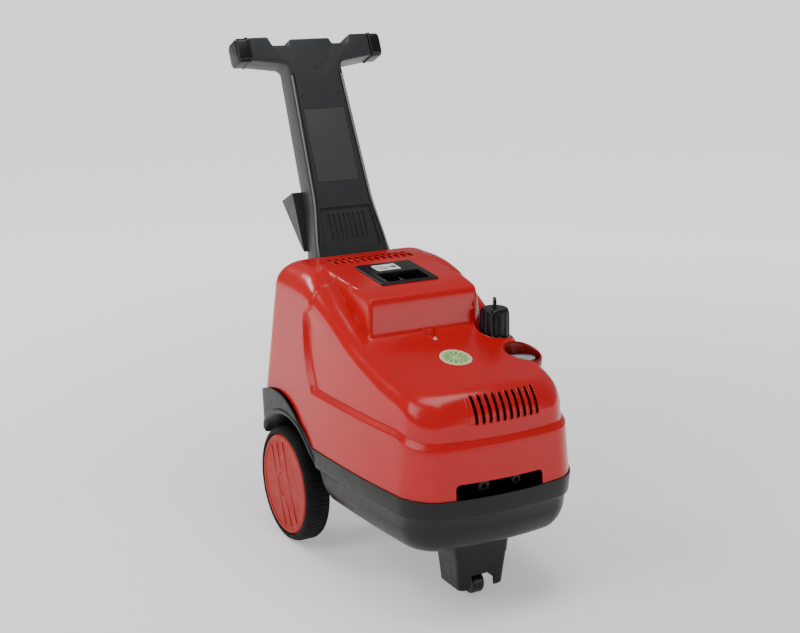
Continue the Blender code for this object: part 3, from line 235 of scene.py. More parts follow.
def material(name):
    """Moulded plastic, rubber, print or metal with its own mottling, gloss and grain."""
    found = bpy.data.materials.get("finish_" + name)
    if found:
        return found
    colour, rough, mirror, grain_size, grain_height = FINISHES[name]
    made, shader, coordinates = blank_material("finish_" + name)
    tree = made.node_tree
    link(tree, mottled(tree, coordinates, colour, 0.05, 0.07), shader.inputs["Base Color"])
    gloss = spread(tree, noise(tree, coordinates, 0.02), rough * 0.88, rough * 1.15)
    link(tree, gloss, shader.inputs["Roughness"])
    link(tree, bumped(tree, noise(tree, coordinates, grain_size), grain_height), shader.inputs["Normal"])
    shader.inputs["Metallic"].default_value = 1.0 if name in METALS else 0.0
    shader.inputs["Specular IOR Level"].default_value = mirror
    return made


def lens_material():
    """Clear plastic of the gauge's lens."""
    made, shader, coordinates = blank_material("finish_lens")
    tree = made.node_tree
    link(tree, mottled(tree, coordinates, (0.86, 0.88, 0.88), 0.01, 0.04), shader.inputs["Base Color"])
    link(tree, spread(tree, noise(tree, coordinates, 0.004), 0.04, 0.09), shader.inputs["Roughness"])
    shader.inputs["Transmission Weight"].default_value = 0.9
    shader.inputs["IOR"].default_value = 1.15
    return made


# ---------------------------------------------------------------- mesh helpers

def piece(name, verts, faces, finish, body="machine", plane=None, smooth=35, bevel=0.0):
    """A visible piece that rides on a body; plane is the matrix that its points are given in."""
    mesh = bpy.data.meshes.new(name)
    place = plane or Matrix.Identity(4)
    mesh.from_pydata([tuple(place @ Vector(v)) for v in verts], [], faces)
    mesh.validate()
    tidy_mesh(mesh, smooth)
    mesh.materials.append(material(finish))
    made = bpy.data.objects.new(name, mesh)
    bpy.context.scene.collection.objects.link(made)
    if bevel:
        bevelled(made, bevel, 3, 40)
    if body:
        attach(made, body)
        SLOT_OF.get(finish, finish)
    return made


def bevelled(target, width, segments, angle):
    """Rounds target's edges that are sharper than an angle in degrees."""
    step = target.modifiers.new("edge", "BEVEL")
    step.width = width
    step.segments = segments
    step.limit_method = "ANGLE"
    step.angle_limit = math.radians(angle)


def thickened(target, thickness):
    """Gives an open skin a wall behind its face."""
    step = target.modifiers.new("wall", "SOLIDIFY")
    step.thickness = thickness
    step.offset = -1


def tidy_mesh(mesh, smooth=35):
    """Merges doubled points, turns the faces outwards and shades the mesh smooth up to an angle."""
    work = bmesh.new()
    work.from_mesh(mesh)
    bmesh.ops.remove_doubles(work, verts=work.verts, dist=1e-6)
    bmesh.ops.recalc_face_normals(work, faces=work.faces)
    work.to_mesh(mesh)
    work.free()
    mesh.shade_smooth()
    mesh.set_sharp_from_angle(angle=math.radians(smooth))


def applied(target):
    """Turns target's modifiers into its mesh."""
    bpy.context.view_layer.update()
    result = bpy.data.meshes.new_from_object(target.evaluated_get(bpy.context.evaluated_depsgraph_get()))
    target.modifiers.clear()
    target.data = result


def boolean(target, tool, smooth=35):
    """Cuts tool out of target and removes it."""
    step = target.modifiers.new("cut", "BOOLEAN")
    step.operation = "DIFFERENCE"
    step.object = tool
    applied(target)
    bpy.data.objects.remove(tool, do_unlink=True)
    target.data.shade_smooth()
    target.data.set_sharp_from_angle(angle=math.radians(smooth))


def strip_faces(rows, count, closed_rows=False):
    """Four-sided faces between closed rows of count points; closed_rows joins the last row to the first."""
    faces = []
    for row in range(rows if closed_rows else rows - 1):
        here, there = row * count, (row + 1) % rows * count
        for k in range(count):
            after = (k + 1) % count
            faces.append((here + k, here + after, there + after, there + k))
    return faces


def end_face(rings):
    """Face across the last ring."""
    count = len(rings[0])
    return tuple(range((len(rings) - 1) * count, len(rings) * count))


def loft(name, rings, finish, closed=False, **place):
    """Skins rings of equally many points, with flat ends unless the rings form a closed band."""
    count = len(rings[0])
    verts = [point for ring in rings for point in ring]
    faces = strip_faces(len(rings), count, closed)
    if not closed:
        faces.append(tuple(range(count)))
        faces.append(end_face(rings))
    return piece(name, verts, faces, finish, **place)


def boxes(name, blocks, finish, **place):
    """Several six-sided blocks in one piece, each given by its eight corners."""
    sides = ((0, 1, 2, 3), (4, 5, 6, 7), (0, 1, 5, 4), (1, 2, 6, 5), (2, 3, 7, 6), (3, 0, 4, 7))
    verts = [corner for block in blocks for corner in block]
    faces = [tuple(8 * k + i for i in face) for k in range(len(blocks)) for face in sides]
    return piece(name, verts, faces, finish, **place)


def turn_angles(count):
    return np.linspace(0, 2 * math.pi, count, endpoint=False)


def arc_points(centre, radius, start, end, steps):
    angles = np.linspace(start, end, steps + 1)
    return [(centre[0] + radius * math.cos(a), centre[1] + radius * math.sin(a)) for a in angles]


def circle(radius, count, middle=(0, 0)):
    return arc_points(middle, radius, 0, 2 * math.pi, count)[:-1]


def lathe(name, profile, finish, axis="Z", segments=48, centre=(0, 0, 0), **place):
    """Turns (radius, height) points about an axis; a profile that leaves the axis open makes a ring."""
    solid_ends = profile[0][0] < 1e-9
    order = {"X": lambda u, v, h: (h, u, v), "Z": lambda u, v, h: (u, v, h)}[axis]
    rings = []
    for radius, height in profile:
        ring = [Vector(order(u, v, height)) + Vector(centre) for u, v in circle(max(radius, 1e-7), segments)]
        rings.append(ring)
    return loft(name, rings, finish, closed=not solid_ends, **place)


CORNER_REACH = 0.45  # largest share of a side that a rounded corner takes


def rounded(profile, radius, steps=4):
    """Rounds the corners of an open (radius, height) profile, apart from its ends."""
    run = [profile[0]]
    for before, here, after in zip(profile, profile[1:], profile[2:]):
        p, a, b = Vector(here), Vector(before), Vector(after)
        reach = min(radius, (a - p).length * CORNER_REACH, (b - p).length * CORNER_REACH)
        start, end = p + (a - p).normalized() * reach, p + (b - p).normalized() * reach
        for step in range(steps + 1):
            t = step / steps
            run.append(tuple(start * (1 - t) ** 2 + p * 2 * t * (1 - t) + end * t ** 2))
    return run + [profile[-1]]


def rounded_polygon(corners, steps=6):
    """Closed outline through (x, y, radius) corners, each turned by an arc."""
    points = []
    for k, (x, y, radius) in enumerate(corners):
        here = Vector((x, y))
        back = (Vector(corners[k - 1][:2]) - here).normalized()
        ahead = (Vector(corners[(k + 1) % len(corners)][:2]) - here).normalized()
        if radius <= 0:
            points.append((x, y))
            continue
        half = back.angle(ahead) / 2
        centre = here + (back + ahead).normalized() * (radius / math.sin(half))
        start = here + back * (radius / math.tan(half)) - centre
        end = here + ahead * (radius / math.tan(half)) - centre
        sweep = start.angle_signed(end)
        for step in range(steps + 1):
            points.append(tuple(centre + Matrix.Rotation(-sweep * step / steps, 2) @ start))
    return points


def rounded_box_outline(x0, x1, y0, y1, radius, steps=6):
    return rounded_polygon(((x0, y0, radius), (x1, y0, radius), (x1, y1, radius), (x0, y1, radius)), steps)


def offset_outline(points, distance):
    """Moves a counter-clockwise outline inwards by distance."""
    moved = []
    for k, point in enumerate(points):
        here = Vector(point)
        back = (here - Vector(points[k - 1])).normalized()
        ahead = (Vector(points[(k + 1) % len(points)]) - here).normalized()
        normal_a, normal_b = Vector((-back.y, back.x)), Vector((-ahead.y, ahead.x))
        middle = (normal_a + normal_b).normalized()
        moved.append(tuple(here + middle * (distance / max(middle.dot(normal_a), 0.4))))
    return moved


def prism(name, outline, low, high, finish="black_plastic", **place):
    return loft(name, [[(x, y, z) for x, y in outline] for z in (low, high)], finish, **place)


def domed_prism(name, outline, low, high, radius, finish, steps=4, **place):
    """Prism whose upper edge is rounded by moving its outline inwards."""
    rings = [[(x, y, low) for x, y in outline]]
    for angle in np.linspace(0, math.pi / 2, steps + 1):
        moved = offset_outline(outline, radius * (1 - math.cos(angle)))
        rings.append([(x, y, high - radius * (1 - math.sin(angle))) for x, y in moved])
    return loft(name, rings, finish, **place)


def box_corners(x0, x1, y0, y1):
    return (x0, y0), (x1, y0), (x1, y1), (x0, y1)


def bead_rings(path, radius, sides=6):
    """Rings of a round bead along a closed loop of points."""
    rings = []
    count = len(path)
    for k, point in enumerate(path):
        along = (path[(k + 1) % count] - path[k - 1]).normalized()
        side = along.cross(Vector((0, 0, 1))).normalized()
        up = side.cross(along)
        rings.append([point + radius * (math.cos(a) * side + math.sin(a) * up) for a in turn_angles(sides)])
    return rings


def rope(name, loops, finish, **place):
    """Several closed bands in one piece."""
    verts, faces = [], []
    for rings in loops:
        start = len(verts)
        count = len(rings[0])
        verts += [point for ring in rings for point in ring]
        faces += [tuple(start + i for i in face) for face in strip_faces(len(rings), count, True)]
    return piece(name, verts, faces, finish, **place)


def blend(value, low, high):
    """0 below low, 1 above high and a smooth rise between them."""
    t = min(max((value - low) / (high - low), 0.0), 1.0)
    return t * t * (3 - 2 * t)


def crisp(value, edge=0.16):
    """Straight rise from 0 to 1 whose two ends are rounded over a short stretch."""
    t = min(max(value, 0.0), 1.0)
    if t < edge:
        return t * t / (2 * edge * (1 - edge))
    if t > 1 - edge:
        return 1 - (1 - t) ** 2 / (2 * edge * (1 - edge))
    return (t - edge / 2) / (1 - edge)


def dense_line(line, step=0.012):
    """Points along an open line, its corners smoothed by averaging neighbours."""
    xs, ss = zip(*line)
    run = []
    for s in np.arange(ss[0], ss[-1], step):
        near = [np.interp(s + shift, ss, xs) for shift in (-0.02, -0.01, 0, 0.01, 0.02)]
        run.append((float(np.mean(near)), s))
    return run


def soft_max(a, b, width):
    """Larger of two heights, with a rounded change between them."""
    near = max(width - abs(a - b), 0.0)
    return max(a, b) + near * near / (4 * width)


def soft_min(a, b, width):
    return -soft_max(-a, -b, width)


# ---------------------------------------------------------------- cover surfaces

def seam_height(y):
    centre_y, centre_z, radius = SEAM_ARCH
    hump = centre_z + math.sqrt(max(radius ** 2 - (y - centre_y) ** 2, 0.0)) - SEAM_Z
    return SEAM_Z + (hump + math.hypot(hump, 0.020)) / 2 - 0.0009


def ledge_height(y):
    level = LEDGE_FRONT_Z + (LEDGE_SIDE_Z - LEDGE_FRONT_Z) * blend(y, -0.41, -0.33)
    return soft_max(level, seam_height(y) + 0.03, 0.02)


def bonnet_height(y):
    ys, zs = zip(*reversed(BONNET_LINE))
    return float(np.mean([np.interp(y + shift, ys, zs) for shift in np.linspace(-0.024, 0.024, 13)]))


def deck_height(x, y):
    """Height of the raised deck, falling away steeply in front of its step and beside it."""
    roof_y, roof_z = DECK_ROOF
    bend_y, bend_z = DECK_BEND
    step_y, step_z = DECK_STEP
    foot_y, foot_z = DECK_FOOT
    rear_plane = bend_z + (y - bend_y) * (roof_z - bend_z) / (roof_y - bend_y)
    front_plane = step_z + (y - step_y) * (bend_z - step_z) / (bend_y - step_y)
    top = soft_min(rear_plane, front_plane, 0.004)
    step = step_z + (y - step_y) * (step_z - foot_z) / (step_y - foot_y)
    half = DECK_STEP_HALF + (DECK_ROOF_HALF - DECK_STEP_HALF) * (y - step_y) / (roof_y - step_y)
    side = DECK_SIDE_TOP + (half - abs(x)) * DECK_SIDE_SLOPE
    return soft_min(top, soft_min(step, side, DECK_CORNER), DECK_EDGE)


def bare_height(x, y):
    crown = NOSE_CROWN * blend(-y, 0.12, 0.40)
    return bonnet_height(y) - crown * (x / 0.17) ** 2


def with_deck(x, y, z):
    if y > DECK_ROOF[0] + 0.03:
        return z
    return soft_max(z, deck_height(x, y), DECK_FILLET)


def shoulder_radius(y):
    rear = SIDE_SHOULDER + (REAR_SHOULDER - SIDE_SHOULDER) * blend(y, -0.06, 0.10)
    return rear + (NOSE_SHOULDER - SIDE_SHOULDER) * blend(-y, 0.33, 0.42)


# Stretches of the plan outline, each with its number of steps
STRETCHES = (("rear", 7), ("rear_corner", 10), ("behind", 25), ("turn", 12), ("before_deck", 21),
             ("step", 21), ("bonnet", 25), ("nose_corner", 12))


def cover_stations():
    """Right half of the plan outline from the rear centre to the nose centre, as (stretch, share)."""
    run = []
    for stretch, steps in STRETCHES:
        run += [(stretch, t) for t in np.linspace(0, 1, steps, endpoint=False)]
    return run + [("nose", t) for t in np.linspace(0, 1, 10)]


STATIONS = cover_stations()


def outline_point(station, inset, turn_y=LEDGE_TURN[0]):
    """Point of the plan outline moved inwards; turn_y is where the upright ledge stands."""
    stretch, t = station
    half, rear, nose = COVER_HALF - inset, COVER_REAR - inset, COVER_NOSE + inset
    rear_r = max(REAR_CORNER - 0.35 * inset, 0.018)
    nose_r = max(NOSE_CORNER - 0.35 * inset, 0.018)
    stops = (rear - rear_r, turn_y + LEDGE_SLOPE, turn_y - LEDGE_SLOPE, DECK_STEP[0] + 0.016,
             DECK_FOOT[0] - 0.010, nose + nose_r)
    sides = {"behind": 0, "turn": 1, "before_deck": 2, "step": 3, "bonnet": 4}
    if stretch in sides:
        first = sides[stretch]
        x, y = half, stops[first] + (stops[first + 1] - stops[first]) * t
    elif stretch == "rear":
        x, y = (half - rear_r) * t, rear
    elif stretch == "nose":
        x, y = (half - nose_r) * (1 - t), nose
    elif stretch == "rear_corner":
        angle = math.pi / 2 * (1 - t)
        x, y = half - rear_r + rear_r * math.cos(angle), rear - rear_r + rear_r * math.sin(angle)
    else:
        angle = -math.pi / 2 * t
        x, y = half - nose_r + nose_r * math.cos(angle), nose + nose_r + nose_r * math.sin(angle)
    forward = max(0.03 - y, 0.0) / (0.03 - COVER_NOSE)
    bow = BOW * blend(-y, 0.20, -COVER_NOSE) - REAR_BOW * blend(y, 0.10, COVER_REAR)
    return x * (1 - TAPER * forward ** 2), y + bow * (x / COVER_HALF) ** 2


def ledge_share(station):
    """0 behind the upright ledge and 1 in front of it."""
    stretch, t = station
    if stretch in ("rear", "rear_corner", "behind"):
        return 0.0
    return crisp(t) if stretch == "turn" else 1.0


def ledge_turn_y(share):
    low, high = LEDGE_TURN
    return low + (high - low) * (1 - (1 - share) ** 2.2) - 0.024 * blend(share, 0.85, 1.0)


def full_ring(right):
    return right + [(-x, y, z) for x, y, z in reversed(right[1:-1])]


def skirt_ring(share, rise, drop=0.0):
    """Ring between the seam (share 0) and the ledge's foot (share 1), or up the ledge by rise."""
    points = []
    for station in STATIONS:
        _, y = outline_point(station, 0.0)
        low, foot = seam_height(y) - drop, ledge_height(y)
        z = low + (foot - low) * share + LEDGE_RISE * rise
        inset = DRAFT * max(z - SEAM_Z, 0) + LEDGE_DEPTH * crisp(rise) * ledge_share(station)
        points.append((*outline_point(station, inset), z))
    return full_ring(points)


def wall_point(station, share):
    """Inset and height of a wall point: share 0 is the ledge's upper edge and 1 the start of the shoulder."""
    x, y = outline_point(station, 0.0, ledge_turn_y(share))
    low = ledge_height(y) + LEDGE_RISE
    high = bare_height(x, y) - shoulder_radius(y)
    z = low + share * (high - low)
    fade = 1 - 0.6 * blend(share, 0.7, 1.0) * blend(y, -0.10, 0.05)
    return DRAFT * (z - SEAM_Z) + LEDGE_DEPTH * fade * ledge_share(station), z


def wall_ring(share):
    points = []
    for station in STATIONS:
        inset, z = wall_point(station, share)
        points.append((*outline_point(station, inset, ledge_turn_y(share)), z))
    return full_ring(points)


def shoulder_ring(angle):
    turn = ledge_turn_y(1.0)
    points = []
    for station in STATIONS:
        _, start_y = outline_point(station, 0.0, turn)
        radius = shoulder_radius(start_y)
        inset = wall_point(station, 1.0)[0] + radius * (1 - math.cos(angle))
        x, y = outline_point(station, inset, turn)
        z = bare_height(x, y) - radius * (1 - math.sin(angle))
        points.append((x, y, with_deck(x, y, z)))
    return full_ring(points)


def lid_columns():
    """Shares of the half width, from the right shoulder to the left, closest together at the deck's sides."""
    right = list(np.linspace(1.0, 0.76, 17)) + list(np.linspace(0.76, 0.0, 13)[1:])
    return right[1:] + [-c for c in reversed(right[1:-1])]


def cover_skin():
    """Open outer skin of the cover, as points and faces."""
    rings = [skirt_ring(share, 0.0) for share in np.linspace(0, 1, 7)]
    rings += [skirt_ring(1.0, rise) for rise in np.linspace(0, 1, 13)[1:]]
    rings += [wall_ring(share) for share in np.linspace(0, 1, 22)[1:]]
    rings += [shoulder_ring(angle) for angle in np.linspace(0, math.pi / 2, 13)[1:]]
    count = len(rings[0])
    verts = [p for ring in rings for p in ring]
    faces = strip_faces(len(rings), count)
    last = (len(rings) - 1) * count
    rows = [[last]]
    for k in range(1, count // 2):
        right, left = Vector(rings[-1][k]), Vector(rings[-1][count - k])
        row = [last + k]
        for share in lid_columns():
            t = (1 - share) / 2
            x, y = right.x + (left.x - right.x) * t, right.y + (left.y - right.y) * t
            verts.append((x, y, with_deck(x, y, bare_height(x, y))))
            row.append(len(verts) - 1)
        row.append(last + count - k)
        rows.append(row)
    rows.append([last + count // 2])
    for a, b in zip(rows, rows[1:]):
        for c in range(max(len(a), len(b)) - 1):
            corners = (a[min(c, len(a) - 1)], a[min(c + 1, len(a) - 1)],
                       b[min(c + 1, len(b) - 1)], b[min(c, len(b) - 1)])
            face = tuple(dict.fromkeys(corners))
            if len(face) > 2:
                faces.append(face)
    return verts, faces


SKIN_POINTS, SKIN_FACES = cover_skin()
SKIN = BVHTree.FromPolygons([Vector(p) for p in SKIN_POINTS], SKIN_FACES)


def drop(x, y, lift=0.0):
    """Point on the cover straight below (x, y)."""
    spot, normal, _, _ = SKIN.ray_cast(Vector((x, y, 1.0)), Vector((0, 0, -1)))
    return spot + normal * math.copysign(lift, normal.z)


def press(x, z, lift=0.0):
    """Point on the nose of the cover straight behind (x, z)."""
    spot, normal, _, _ = SKIN.ray_cast(Vector((x, -1.0, z)), Vector((0, 1, 0)))
    return spot - normal * math.copysign(lift, normal.y)


def slot_outline(half, low, high, steps=6):
    """Upright slot with round ends, as (across, along) points."""
    return (arc_points((0, high - half), half, 0, math.pi, steps)
            + arc_points((0, low + half), half, math.pi, 2 * math.pi, steps))


def dense(outline, step=0.004):
    """Adds points along the straights of a closed outline."""
    run = []
    for a, b in zip(outline, outline[1:] + outline[:1]):
        start, end = Vector(a), Vector(b)
        count = max(int((end - start).length / step), 1)
        run += [tuple(start.lerp(end, k / count)) for k in range(count)]
    return run


def roof_slots():
    for k in range(ROOF_SLOTS):
        yield (k - (ROOF_SLOTS - 1) / 2) * ROOF_SLOT_PITCH


def nose_slots():
    for k in range(NOSE_SLOTS):
        yield NOSE_SLOT_CENTRE + (k - (NOSE_SLOTS - 1) / 2) * NOSE_SLOT_PITCH


def along_nose(outline, near, far):
    """Rings of an (x, z) outline swept along Y."""
    return [[(x, y, z) for x, z in outline] for y in (near, far)]


def upright_cutter(outline, low, high):
    return prism("cutter", outline, low, high, body=None)


def nose_cutter(outline, near, far):
    return loft("cutter", along_nose(outline, near, far), "black_plastic", body=None)


def cover_cutters(knob, gauge):
    """Everything that is cut out of the cover's shell."""
    yield upright_cutter(circle(KNOB_POCKET + POCKET_WALL - 0.0004, ROUND_STEPS, knob), 0.40, CUT_TOP)
    pod = circle(GAUGE_POCKET + POD_WALL - 0.0012, ROUND_STEPS, gauge)
    yield upright_cutter(pod, bare_height(*gauge) - 0.030, CUT_TOP)
    mouth = rounded_polygon(((MOUTH_LEFT, 0.20, 0), (MOUTH_RIGHT, 0.20, 0), (MOUTH_RIGHT, MOUTH_TOP, 0.010),
                             (MOUTH_LEFT, MOUTH_TOP, 0.010)))
    yield nose_cutter(mouth, -0.50, -0.36)
    for middle in nose_slots():
        outline = [(middle + x, z) for x, z in slot_outline(NOSE_SLOT_WIDTH / 2, *NOSE_SLOT_Z)]
        yield nose_cutter(outline, -0.47, -0.36)
    for middle in roof_slots():
        outline = [(middle + x, y) for x, y in slot_outline(ROOF_SLOT_WIDTH / 2, *ROOF_SLOT_Y)]
        yield upright_cutter(outline, 0.57, 0.62)
    low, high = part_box("switch_panel")
    yield upright_cutter(box_corners(low.x + PANEL_REST, high.x - PANEL_REST, low.y + PANEL_REST,
                                     high.y - PANEL_REST), 0.53, 0.62)
    side, front = COLUMN_FOOT_HALF + 0.004, HANDLE_ORIGIN[1] - 0.014
    notch = rounded_polygon(((-side, front, 0.010), (side, front, 0.010), (side, 0.30, 0), (-side, 0.30, 0)))
    yield upright_cutter(notch, COLUMN_SEAT_Z - 0.012, 0.70)


def cover(knob, gauge):
    """Thin red shell with its openings; knob and gauge are the places of the two recesses."""
    shell = piece("cover_shell", SKIN_POINTS, SKIN_FACES, "red_plastic", smooth=50)
    thickened(shell, WALL)
    applied(shell)
    for tool in cover_cutters(knob, gauge):
        boolean(shell, tool, smooth=50)
    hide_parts("cover")


def vent_lips():
    """Raised beads round the vents of the roof and of the nose."""
    loops = []
    for middle in roof_slots():
        slot = slot_outline(ROOF_SLOT_WIDTH / 2 + 0.0006, *ROOF_SLOT_Y)
        outline = dense([(middle + x, y) for x, y in slot])
        loops.append(bead_rings([drop(x, y, 0.0002) for x, y in outline], 0.0012))
    low, high = NOSE_SLOT_Z
    for middle in nose_slots():
        slot = slot_outline(NOSE_SLOT_WIDTH / 2 + 0.0006, low - 0.0006, high + 0.0004)
        outline = dense([(middle + x, z) for x, z in slot])
        loops.append(bead_rings([press(x, z, 0.0001) for x, z in outline], 0.0014))
    rope("vent_lips", loops, "red_plastic", smooth=60)


def vent_pad():
    """Angled bead in the nose beside the left end of its vents."""
    low, high = NOSE_SLOT_Z
    left = NOSE_SLOT_CENTRE - NOSE_SLOTS / 2 * NOSE_SLOT_PITCH
    corners = ((left - 0.004, high - 0.001), (left - 0.009, low + 0.004), (left + 0.003, low - 0.0005))
    rings = []
    for (x0, z0), (x1, z1) in zip(corners, corners[1:]):
        for t in np.linspace(0, 1, 12, endpoint=False):
            centre = press(x0 + (x1 - x0) * t, z0 + (z1 - z0) * t)
            rings.append([centre + Vector((0.0016 * math.cos(a), 0.0010 * math.sin(a), 0.0004 * math.cos(a)))
                          for a in turn_angles(8)])
    loft("vent_pad", rings, "red_plastic", smooth=60)


# ---------------------------------------------------------------- controls

def knob_pocket(place, floor):
    """Round cup let into the cover, its edge running along the surface."""
    radius = KNOB_POCKET
    rings = []
    for share, lift in ((1.0, 0.0000), (0.75, 0.0005), (0.35, 0.0003), (0.1, -0.0006), (0.0, -0.0020)):
        edge = circle(radius + POCKET_WALL * share, ROUND_STEPS, place)
        rings.append([(x, y, drop(x, y).z + lift) for x, y in edge])
    for r, z in ((radius - 0.001, floor + 0.003), (radius - 0.004, floor), (SPINDLE_HOLE, floor),
                 (SPINDLE_HOLE, floor - 0.002), (radius + POCKET_WALL, floor - 0.002)):
        rings.append([(x, y, z) for x, y in circle(r, ROUND_STEPS, place)])
    loft("knob_pocket", rings, "red_plastic", closed=True, smooth=50)


def gauge_pod(place, floor):
    """Round swelling at the right shoulder with the gauge's recess; its rim carries on the bonnet's slope. It
    is coloured a darker red than the cover as painted shade.
    """
    outer = GAUGE_POCKET + POD_WALL
    top = bare_height(*place)
    rings = []
    for r, lift in ((GAUGE_POCKET - 0.0005, -0.0045), (GAUGE_POCKET, -0.0015),
                    (GAUGE_POCKET + 0.0012, 0.0000), (outer - 0.0020, 0.0004), (outer - 0.0006, -0.0006),
                    (outer, -0.0030)):
        rings.append([(x, y, bare_height(x, y) + lift) for x, y in circle(r, ROUND_STEPS, place)])
    for share, depth in ((1.0, 0.018), (0.97, 0.034), (0.86, 0.052), (0.68, 0.068)):
        rings.append([(x, y, top - depth) for x, y in circle(outer * share, ROUND_STEPS, place)])
    for r, z in ((0.030, floor - 0.004), (0.0265, floor - 0.003), (0.0265, floor),
                 (GAUGE_POCKET - 0.001, floor)):
        rings.append([(x, y, z) for x, y in circle(r, ROUND_STEPS, place)])
    loft("gauge_pod", rings, "pod_red_painted_shade", closed=True, smooth=50)


def main_knob():
    """Fluted knob of the pressure control with a fin across its top."""
    low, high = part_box("pressure_knob")
    middle = (low + high) / 2
    radius = (high.x - low.x) / 2
    rings = []
    for share, scale, depth in ((0.0, 1.0, 0.0), (0.06, 1.0, 0.0), (0.085, 0.955, 0.3), (0.14, 0.95, 1.0),
                                (0.80, 0.93, 1.0), (0.90, 0.90, 0.7), (0.96, 0.86, 0.4), (1.0, 0.78, 0.1)):
        ring = []
        for k in range(KNOB_FLUTES * FLUTE_STEPS):
            angle = 2 * math.pi * k / (KNOB_FLUTES * FLUTE_STEPS)
            r = radius * scale - FLUTE_DEPTH * depth * max(math.cos(KNOB_FLUTES * angle), -0.2)
            ring.append((middle.x + r * math.cos(angle), middle.y + r * math.sin(angle),
                         low.z + share * KNOB_BODY_HEIGHT))
        rings.append(ring)
    loft("pressure_knob_body", rings, "black_plastic", body="pressure_control", smooth=40)
    turn = Matrix.Translation((middle.x, middle.y, 0)) @ Matrix.Rotation(FIN_TURN, 4, "Z")
    foot_z, top_z = low.z + KNOB_BODY_HEIGHT - 0.004, high.z - 0.0005
    side = rounded_polygon(((-0.020, foot_z, 0), (0.020, foot_z, 0), (0.011, top_z, 0.006),
                            (-0.008, top_z, 0.006)))
    faces = [[(x, y, z) for y, z in side] for x in (-FIN_HALF, FIN_HALF)]
    fin = loft("pressure_knob_fin", faces, "black_plastic", body="pressure_control", plane=turn, bevel=0.0012)
    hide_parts("pressure_knob")


def gauge_rim(place):
    """Bezel of the gauge; its pointer, dial and lens are the CAD's."""
    low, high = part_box("gauge_body")
    radius = (high.x - low.x) / 2
    top = high.z
    profile = ((radius - 0.004, top - 0.0075), (radius, top - 0.0075), (radius, top), (radius - 0.0028, top),
               (radius - 0.0028, top - 0.005), (radius - 0.004, top - 0.005))
    lathe("gauge_rim", rounded(profile, 0.0009), "black_plastic", segments=64, centre=(*place, 0))


def gauge_scale(place):
    """Strokes of the dial, every sixth one longer and wider."""
    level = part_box("gauge_dial")[1].z
    strokes = []
    for k in range(SCALE_STROKES):
        angle = math.radians(-135 + 270 * k / (SCALE_STROKES - 1))
        inner, half = (0.0205, 0.00035) if k % 6 else (0.0180, 0.0006)
        along, side = Vector((math.sin(angle), -math.cos(angle))), Vector((math.cos(angle), math.sin(angle)))
        stroke = box_corners(inner, SCALE_RADIUS, -half, half)
        corners = [Vector(place) + along * r + side * w for r, w in stroke]
        strokes.append([(x, y, z) for z in (level - 0.0002, level + 0.0002) for x, y in corners])
    boxes("gauge_scale", strokes, "print_grey")


def deck_plane():
    """Matrix of the deck's flat top, under the middle of the switch panel."""
    tilt = math.atan2(DECK_ROOF[1] - DECK_BEND[1], DECK_ROOF[0] - DECK_BEND[0])
    height = DECK_ROOF[1] - (DECK_ROOF[0] - PANEL_Y) * math.tan(tilt) + 0.0003
    return Matrix.Translation((0, PANEL_Y, height)) @ Matrix.Rotation(tilt, 4, "X")


def switch_panel():
    plane = deck_plane()
    well = rounded_box_outline(-0.048, 0.048, -0.056, -0.002, 0.004)
    outline = rounded_box_outline(-PANEL_HALF, PANEL_HALF, -0.065, 0.065, 0.006)
    bezel = domed_prism("switch_bezel", outline, 0.0, 0.0032, 0.0026, "black_plastic", plane=plane)
    boolean(bezel, prism("cutter", offset_outline(well, -0.002), -0.02, 0.02, body=None, plane=plane))
    switch_well(plane, well)
    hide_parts("switch_panel", "panel_label")
    panel_print(plane)
    switch_knob(plane @ Matrix.Translation((0, -0.029, -WELL_DEPTH)))


def switch_well(plane, well):
    """Thin cup round the switch knob, its edge a small bead."""
    rings = []
    for inset, z in ((-0.0035, 0.0036), (-0.0018, 0.0042), (-0.0003, 0.0036), (0.0, 0.0020), (0.0, -0.020),
                     (0.002, -WELL_DEPTH)):
        outline = offset_outline(well, inset) if inset else well
        rings.append([(x, y, z) for x, y in outline])
    faces = strip_faces(len(rings), len(well))
    faces.append(end_face(rings))
    lining = piece("switch_well", [p for ring in rings for p in ring], faces, "black_plastic", plane=plane)
    thickened(lining, 0.0012)


def panel_print(plane):
    """White plate behind the switch with three bars and a dot."""
    label = rounded_box_outline(-0.034, 0.020, 0.014, 0.050, 0.003)
    prism("panel_plate", label, 0.0030, 0.0037, "dial_white", plane=plane)
    for row, right in enumerate((-0.006, 0.004, -0.012)):
        y = 0.022 + row * 0.0075
        bar = rounded_box_outline(-0.030, right, y, y + 0.003, 0.0012)
        prism(f"panel_bar_{row + 1}", bar, 0.0035, 0.0039, "print_grey", plane=plane)
    prism("panel_symbol", circle(0.0065, 24, (0.0105, 0.032)), 0.0035, 0.0039, "print_grey", plane=plane)


def switch_knob(plane):
    """Round base with a grip bar across it."""
    profile = rounded(((0, 0.0005), (0.0165, 0.0005), (0.0160, 0.0065), (0, 0.0065)), 0.0015)
    base = lathe("switch_knob_base", profile, "black_plastic", body="switch", plane=plane)
    grip = rounded_box_outline(-0.0038, 0.0038, -0.0148, 0.0148, 0.0036)
    domed_prism("switch_knob_grip", grip, 0.004, 0.0175, 0.0015, "black_plastic", body="switch", plane=plane)
    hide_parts("switch_knob")


def disc_on_cover(name, centre, inner, outer, lift, finish):
    """Ring or disc that lies on the bonnet, with a thin edge."""
    spokes, rows = 64, 4
    levels = [(inner + (outer - inner) * k / rows, lift) for k in range(rows + 1)] + [(outer, -0.0006)]
    verts = []
    for radius, height in levels:
        for k in range(spokes):
            angle = 2 * math.pi * k / spokes
            x, y = centre[0] + radius * math.cos(angle), centre[1] + radius * math.sin(angle)
            verts.append(tuple(drop(x, y) + Vector((0, 0, height))))
    faces = strip_faces(len(levels), spokes)
    if inner < 1e-3:
        faces.append(tuple(range(spokes)))
    return piece(name, verts, faces, finish, smooth=30)


